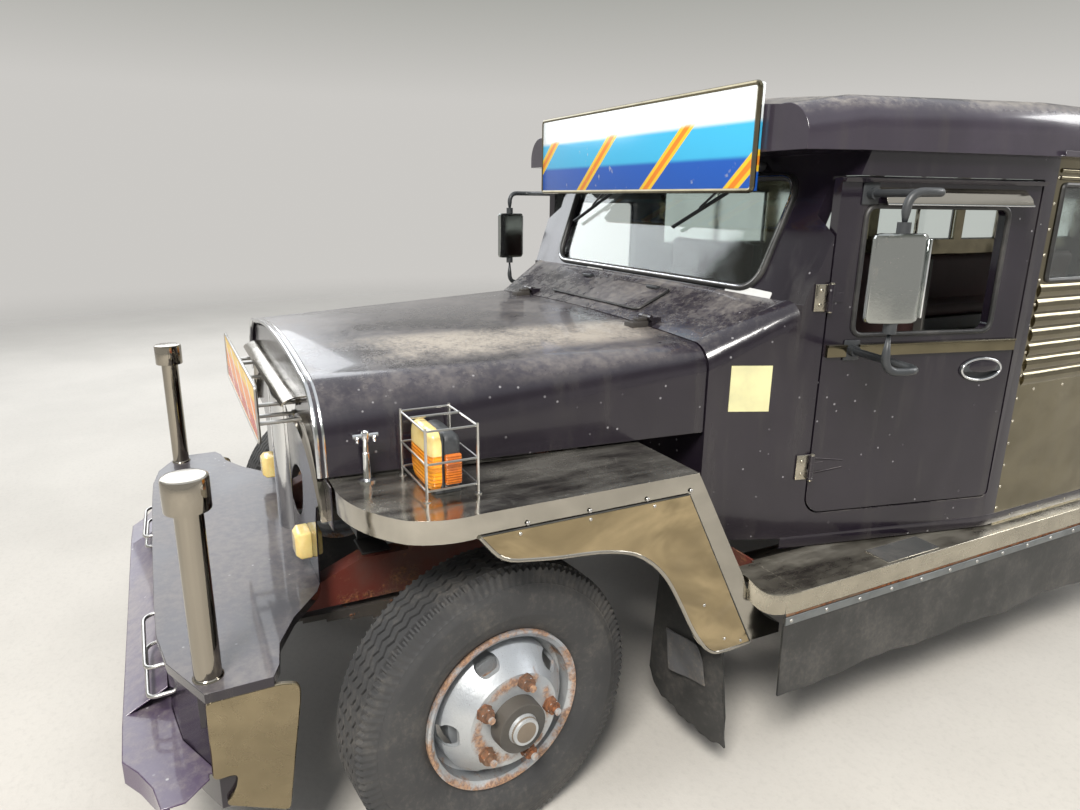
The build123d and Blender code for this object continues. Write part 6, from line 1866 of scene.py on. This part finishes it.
def swell(name, low, high, cap, material, voxel=0.012):
    """cap is the farthest a point may move."""
    low, high = np.array(low), np.array(high)
    shrink = cap * 0.8
    edge = min(0.030, float((high - low).min()) * 0.3)
    points, faces = soft_box(low + shrink * np.array((1, 1, 0.2)), high - shrink, edge, 5)
    mesh = bpy.data.meshes.new(name)
    mesh.from_pydata((points + (0, AXLE_Y, 0)).tolist(), [], faces)
    recalculate(mesh)
    piece = placed(name, mesh)
    remesh = piece.modifiers.new("remesh", "REMESH")
    remesh.mode = "VOXEL"
    remesh.voxel_size = voxel
    settle(piece)
    before = vectors(piece.data.vertices, "co")
    cloth = piece.modifiers.new("cloth", "CLOTH")
    cloth.settings.use_pressure = True
    cloth.settings.uniform_pressure_force = 4
    cloth.settings.effector_weights.gravity = 0
    for step in range(1, CLOTH_STEPS + 1):
        bpy.context.scene.frame_set(step)
    settle(piece)
    shift = vectors(piece.data.vertices, "co") - before
    length = np.linalg.norm(shift, axis=1, keepdims=True)
    capped = before + shift * np.minimum(1, cap / np.maximum(length, 1e-9))
    capped = np.clip(capped, low + (0, AXLE_Y, 0), high + (0, AXLE_Y, 0))
    piece.data.vertices.foreach_set("co", capped.ravel())
    piece.data.materials.clear()
    piece.data.materials.append(material)
    smooth_by_angle(piece.data, 80)
    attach(piece, "body")
    return piece


def settle(piece):
    """Takes the piece's mesh as its modifiers show it now, and removes them."""
    shown = piece.evaluated_get(bpy.context.evaluated_depsgraph_get())
    mesh = bpy.data.meshes.new_from_object(shown)
    piece.modifiers.clear()
    piece.data = mesh


seat_low, seat_high = reach("front_seats", 1)
CUSHION_TOP = 0.920
BACK_FRONT = 1.618
BENCH_TOP = 1.035
BENCH_BACK_X = 0.900
BENCH_VOXEL = 0.024
for side, word in SIDES:
    x0, x1 = sorted((side * seat_low[0], side * seat_high[0]))
    swell("seat_cushion_" + word, (x0, *seat_low[1:]), (x1, BACK_FRONT - 0.001, CUSHION_TOP),
                      0.016, seat_vinyl)
    swell("seat_back_" + word, (x0, BACK_FRONT + 0.001, seat_low[2]), (x1, *seat_high[1:]),
                      0.012, seat_vinyl)
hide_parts("front_seats")
bench_low, bench_high = reach("passenger_benches", 1)
for side, word in SIDES:
    x0, x1 = sorted((side * bench_low[0], side * BENCH_BACK_X))
    swell("bench_cushion_" + word, (x0, *bench_low[1:]), (x1, bench_high[1], BENCH_TOP), 0.014,
                      bench_vinyl, BENCH_VOXEL)
    x0, x1 = sorted((side * (BENCH_BACK_X + 0.001), side * bench_high[0]))
    swell("bench_back_" + word, (x0, *bench_low[1:]), (x1, *bench_high[1:]), 0.010,
                      bench_vinyl, BENCH_VOXEL)
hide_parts("passenger_benches")
refine("dashboard", dash_plastic, 0.010)

# %% Steering wheel
WHEEL_AT = np.array((0.380, 1.290, 1.120))
COLUMN_FOOT = np.array((0.380, 0.783, 0.740))
column_way = unit(WHEEL_AT - COLUMN_FOOT)
across = np.array((1.0, 0, 0))
down_way = np.cross(column_way, across)


def rim_points(radius, count=64, lift=0.0):
    """A ring about the steering column."""
    turn = np.linspace(0, math.tau, count, endpoint=False)[:, None]
    return WHEEL_AT + lift * column_way + radius * (np.cos(turn) * across + np.sin(turn) * down_way)


rim_ring = tube(rim_points(0.190), 0.0125, 14, up=tuple(column_way), closed=True)
spokes = [tube(np.array([WHEEL_AT + 0.02 * unit(p - WHEEL_AT), p]), 0.0075, 10, up=tuple(column_way))
          for p in rim_points(0.186, 3)]
column = tube(np.array([COLUMN_FOOT, WHEEL_AT]), 0.018, 20, up=(1, 0, 0))
boss = turned([(-0.02, 0.022), (-0.015, 0.032), (0.006, 0.034), (0.014, 0.030), (0.018, 0.018),
               (0.0185, 0.002)], WHEEL_AT, column_way, 32)
bracket = soft_box((0.370, 1.000, 0.910), (0.390, 1.030, 1.180), 0.004)
dress("steering_wheel_rim", joined(rim_ring, *spokes, column, boss, bracket), dash_plastic,
      ["steering_wheel"], hard=50)
print("inside dressed")

# %% [markdown]
# Studio: a concrete-coloured floor that fades into the backdrop with distance, a soft key lamp from the left
# front, a fill and a back lamp. The backdrop that camera, metal and glass see alike is graded: pale low down,
# then a dark band, bright overhead, because polished sheet shows what stands around it.

# %% Floor
FLOOR_REACH = 16.0
FLOOR_TONE = (0.50, 0.475, 0.435)
FADE = (5.5, 14.0)
BACKDROP_LOW = (0.60, 0.585, 0.56)
BACKDROP_BAND = (0.26, 0.27, 0.24)
BACKDROP_TOP = (0.90, 0.93, 0.96)
# Places on the ramp, which runs from straight down at 0 over the horizon at 0.5 to straight up at 1
BACKDROP = ((0.56, BACKDROP_LOW), (0.66, BACKDROP_BAND), (0.74, BACKDROP_BAND), (0.84, BACKDROP_TOP))
SKY = (0.92, 0.96, 1.0)
SKY_STRENGTH = 0.62


def floor_finish():
    """Concrete near the vehicle; further out it gives way to the backdrop behind it."""
    f = Finish("studio_floor")
    cloud = f.noise(0.9, detail=7.0, rough=0.62)
    grain = f.noise(45.0, detail=5.0, rough=0.7)
    colour = f.mix(cloud.above(0.3, 0.7), FLOOR_TONE, tuple(1.12 * c for c in FLOOR_TONE))
    colour = f.mix(grain.above(0.45, 0.75) * 0.25, colour, tuple(0.7 * c for c in FLOOR_TONE))
    f.end(colour, 0.8, normal=f.bump(grain, 0.001))
    away = (f.x * f.x + f.y * f.y) ** 0.5
    gone = f.node("ShaderNodeBsdfTransparent")
    blend = f.tree.nodes.new("ShaderNodeMixShader")
    f.tree.links.new(away.above(*FADE).socket, blend.inputs[0])
    f.tree.links.new(f.shader.outputs[0], blend.inputs[1])
    f.tree.links.new(gone.socket, blend.inputs[2])
    f.tree.links.new(blend.outputs[0], f.tree.nodes["Material Output"].inputs["Surface"])
    return f.material


floor_mesh = bpy.data.meshes.new("studio_floor")
corners = [(FLOOR_REACH * a, FLOOR_REACH * b, 0) for a, b in ((-1, -1), (1, -1), (1, 1), (-1, 1))]
floor_mesh.from_pydata(corners, [], [(0, 1, 2, 3)])
floor_mesh.materials.append(floor_finish())
placed("studio_floor", floor_mesh)


# %% World
def graded_world():
    """An even sky for the light, and the graded backdrop for camera, glossy and transmission rays."""
    world = bpy.data.worlds.new("studio")
    bpy.context.scene.world = world
    world.use_nodes = True
    tree = world.node_tree
    even = tree.nodes["Background"]
    even.inputs["Color"].default_value = (*SKY, 1.0)
    even.inputs["Strength"].default_value = SKY_STRENGTH
    ramp = tree.nodes.new("ShaderNodeValToRGB")
    stops = ramp.color_ramp.elements
    stops[0].position, stops[0].color = 0.0, (*BACKDROP_LOW, 1)
    stops[1].position, stops[1].color = 1.0, (*BACKDROP_TOP, 1)
    for place, colour in BACKDROP:
        stops.new(place).color = (*colour, 1)
    where = tree.nodes.new("ShaderNodeTexCoord")
    split = tree.nodes.new("ShaderNodeSeparateXYZ")
    halved = tree.nodes.new("ShaderNodeMath")
    halved.operation = "MULTIPLY_ADD"
    halved.inputs[1].default_value = 0.5
    halved.inputs[2].default_value = 0.5
    plain = tree.nodes.new("ShaderNodeBackground")
    seen = tree.nodes.new("ShaderNodeLightPath")
    either, any_of = (tree.nodes.new("ShaderNodeMath") for _ in range(2))
    either.operation = any_of.operation = "MAXIMUM"
    chosen = tree.nodes.new("ShaderNodeMixShader")
    links = ((where.outputs["Generated"], split.inputs[0]),
             (split.outputs[2], halved.inputs[0]),
             (halved.outputs[0], ramp.inputs[0]),
             (ramp.outputs[0], plain.inputs["Color"]),
             (seen.outputs["Is Camera Ray"], either.inputs[0]),
             (seen.outputs["Is Glossy Ray"], either.inputs[1]),
             (either.outputs[0], any_of.inputs[0]),
             (seen.outputs["Is Transmission Ray"], any_of.inputs[1]),
             (any_of.outputs[0], chosen.inputs[0]),
             (even.outputs[0], chosen.inputs[1]),
             (plain.outputs[0], chosen.inputs[2]),
             (chosen.outputs[0], tree.nodes["World Output"].inputs["Surface"]))
    for source, target in links:
        tree.links.new(source, target)


graded_world()


# %% Lamps
def lamp(name, place, aim, size, watts, colour=(1, 1, 1)):
    """A large square lamp at a place, pointed at aim."""
    light = bpy.data.lights.new(name, "AREA")
    light.size = size
    light.energy = watts
    light.color = colour
    holder = placed(name, light)
    holder.location = (place[0], place[1] + AXLE_Y, place[2])
    way = Vector(aim) - Vector(place)
    holder.rotation_mode = "QUATERNION"
    holder.rotation_quaternion = way.to_track_quat("-Z", "Y")


lamp("key", (5.0, -3.5, 7.0), (0.4, 0.8, 0.8), 2.5, 1000, (1.0, 0.97, 0.92))
lamp("fill", (-6.5, -1.0, 5.0), (0.0, 1.5, 0.8), 5.0, 300, (0.93, 0.96, 1.0))
lamp("back", (3.5, 9.5, 5.5), (0.0, 3.5, 1.0), 4.0, 420)
print("lamps set")

# %% Finish
bpy.context.scene.view_settings.view_transform = "Standard"
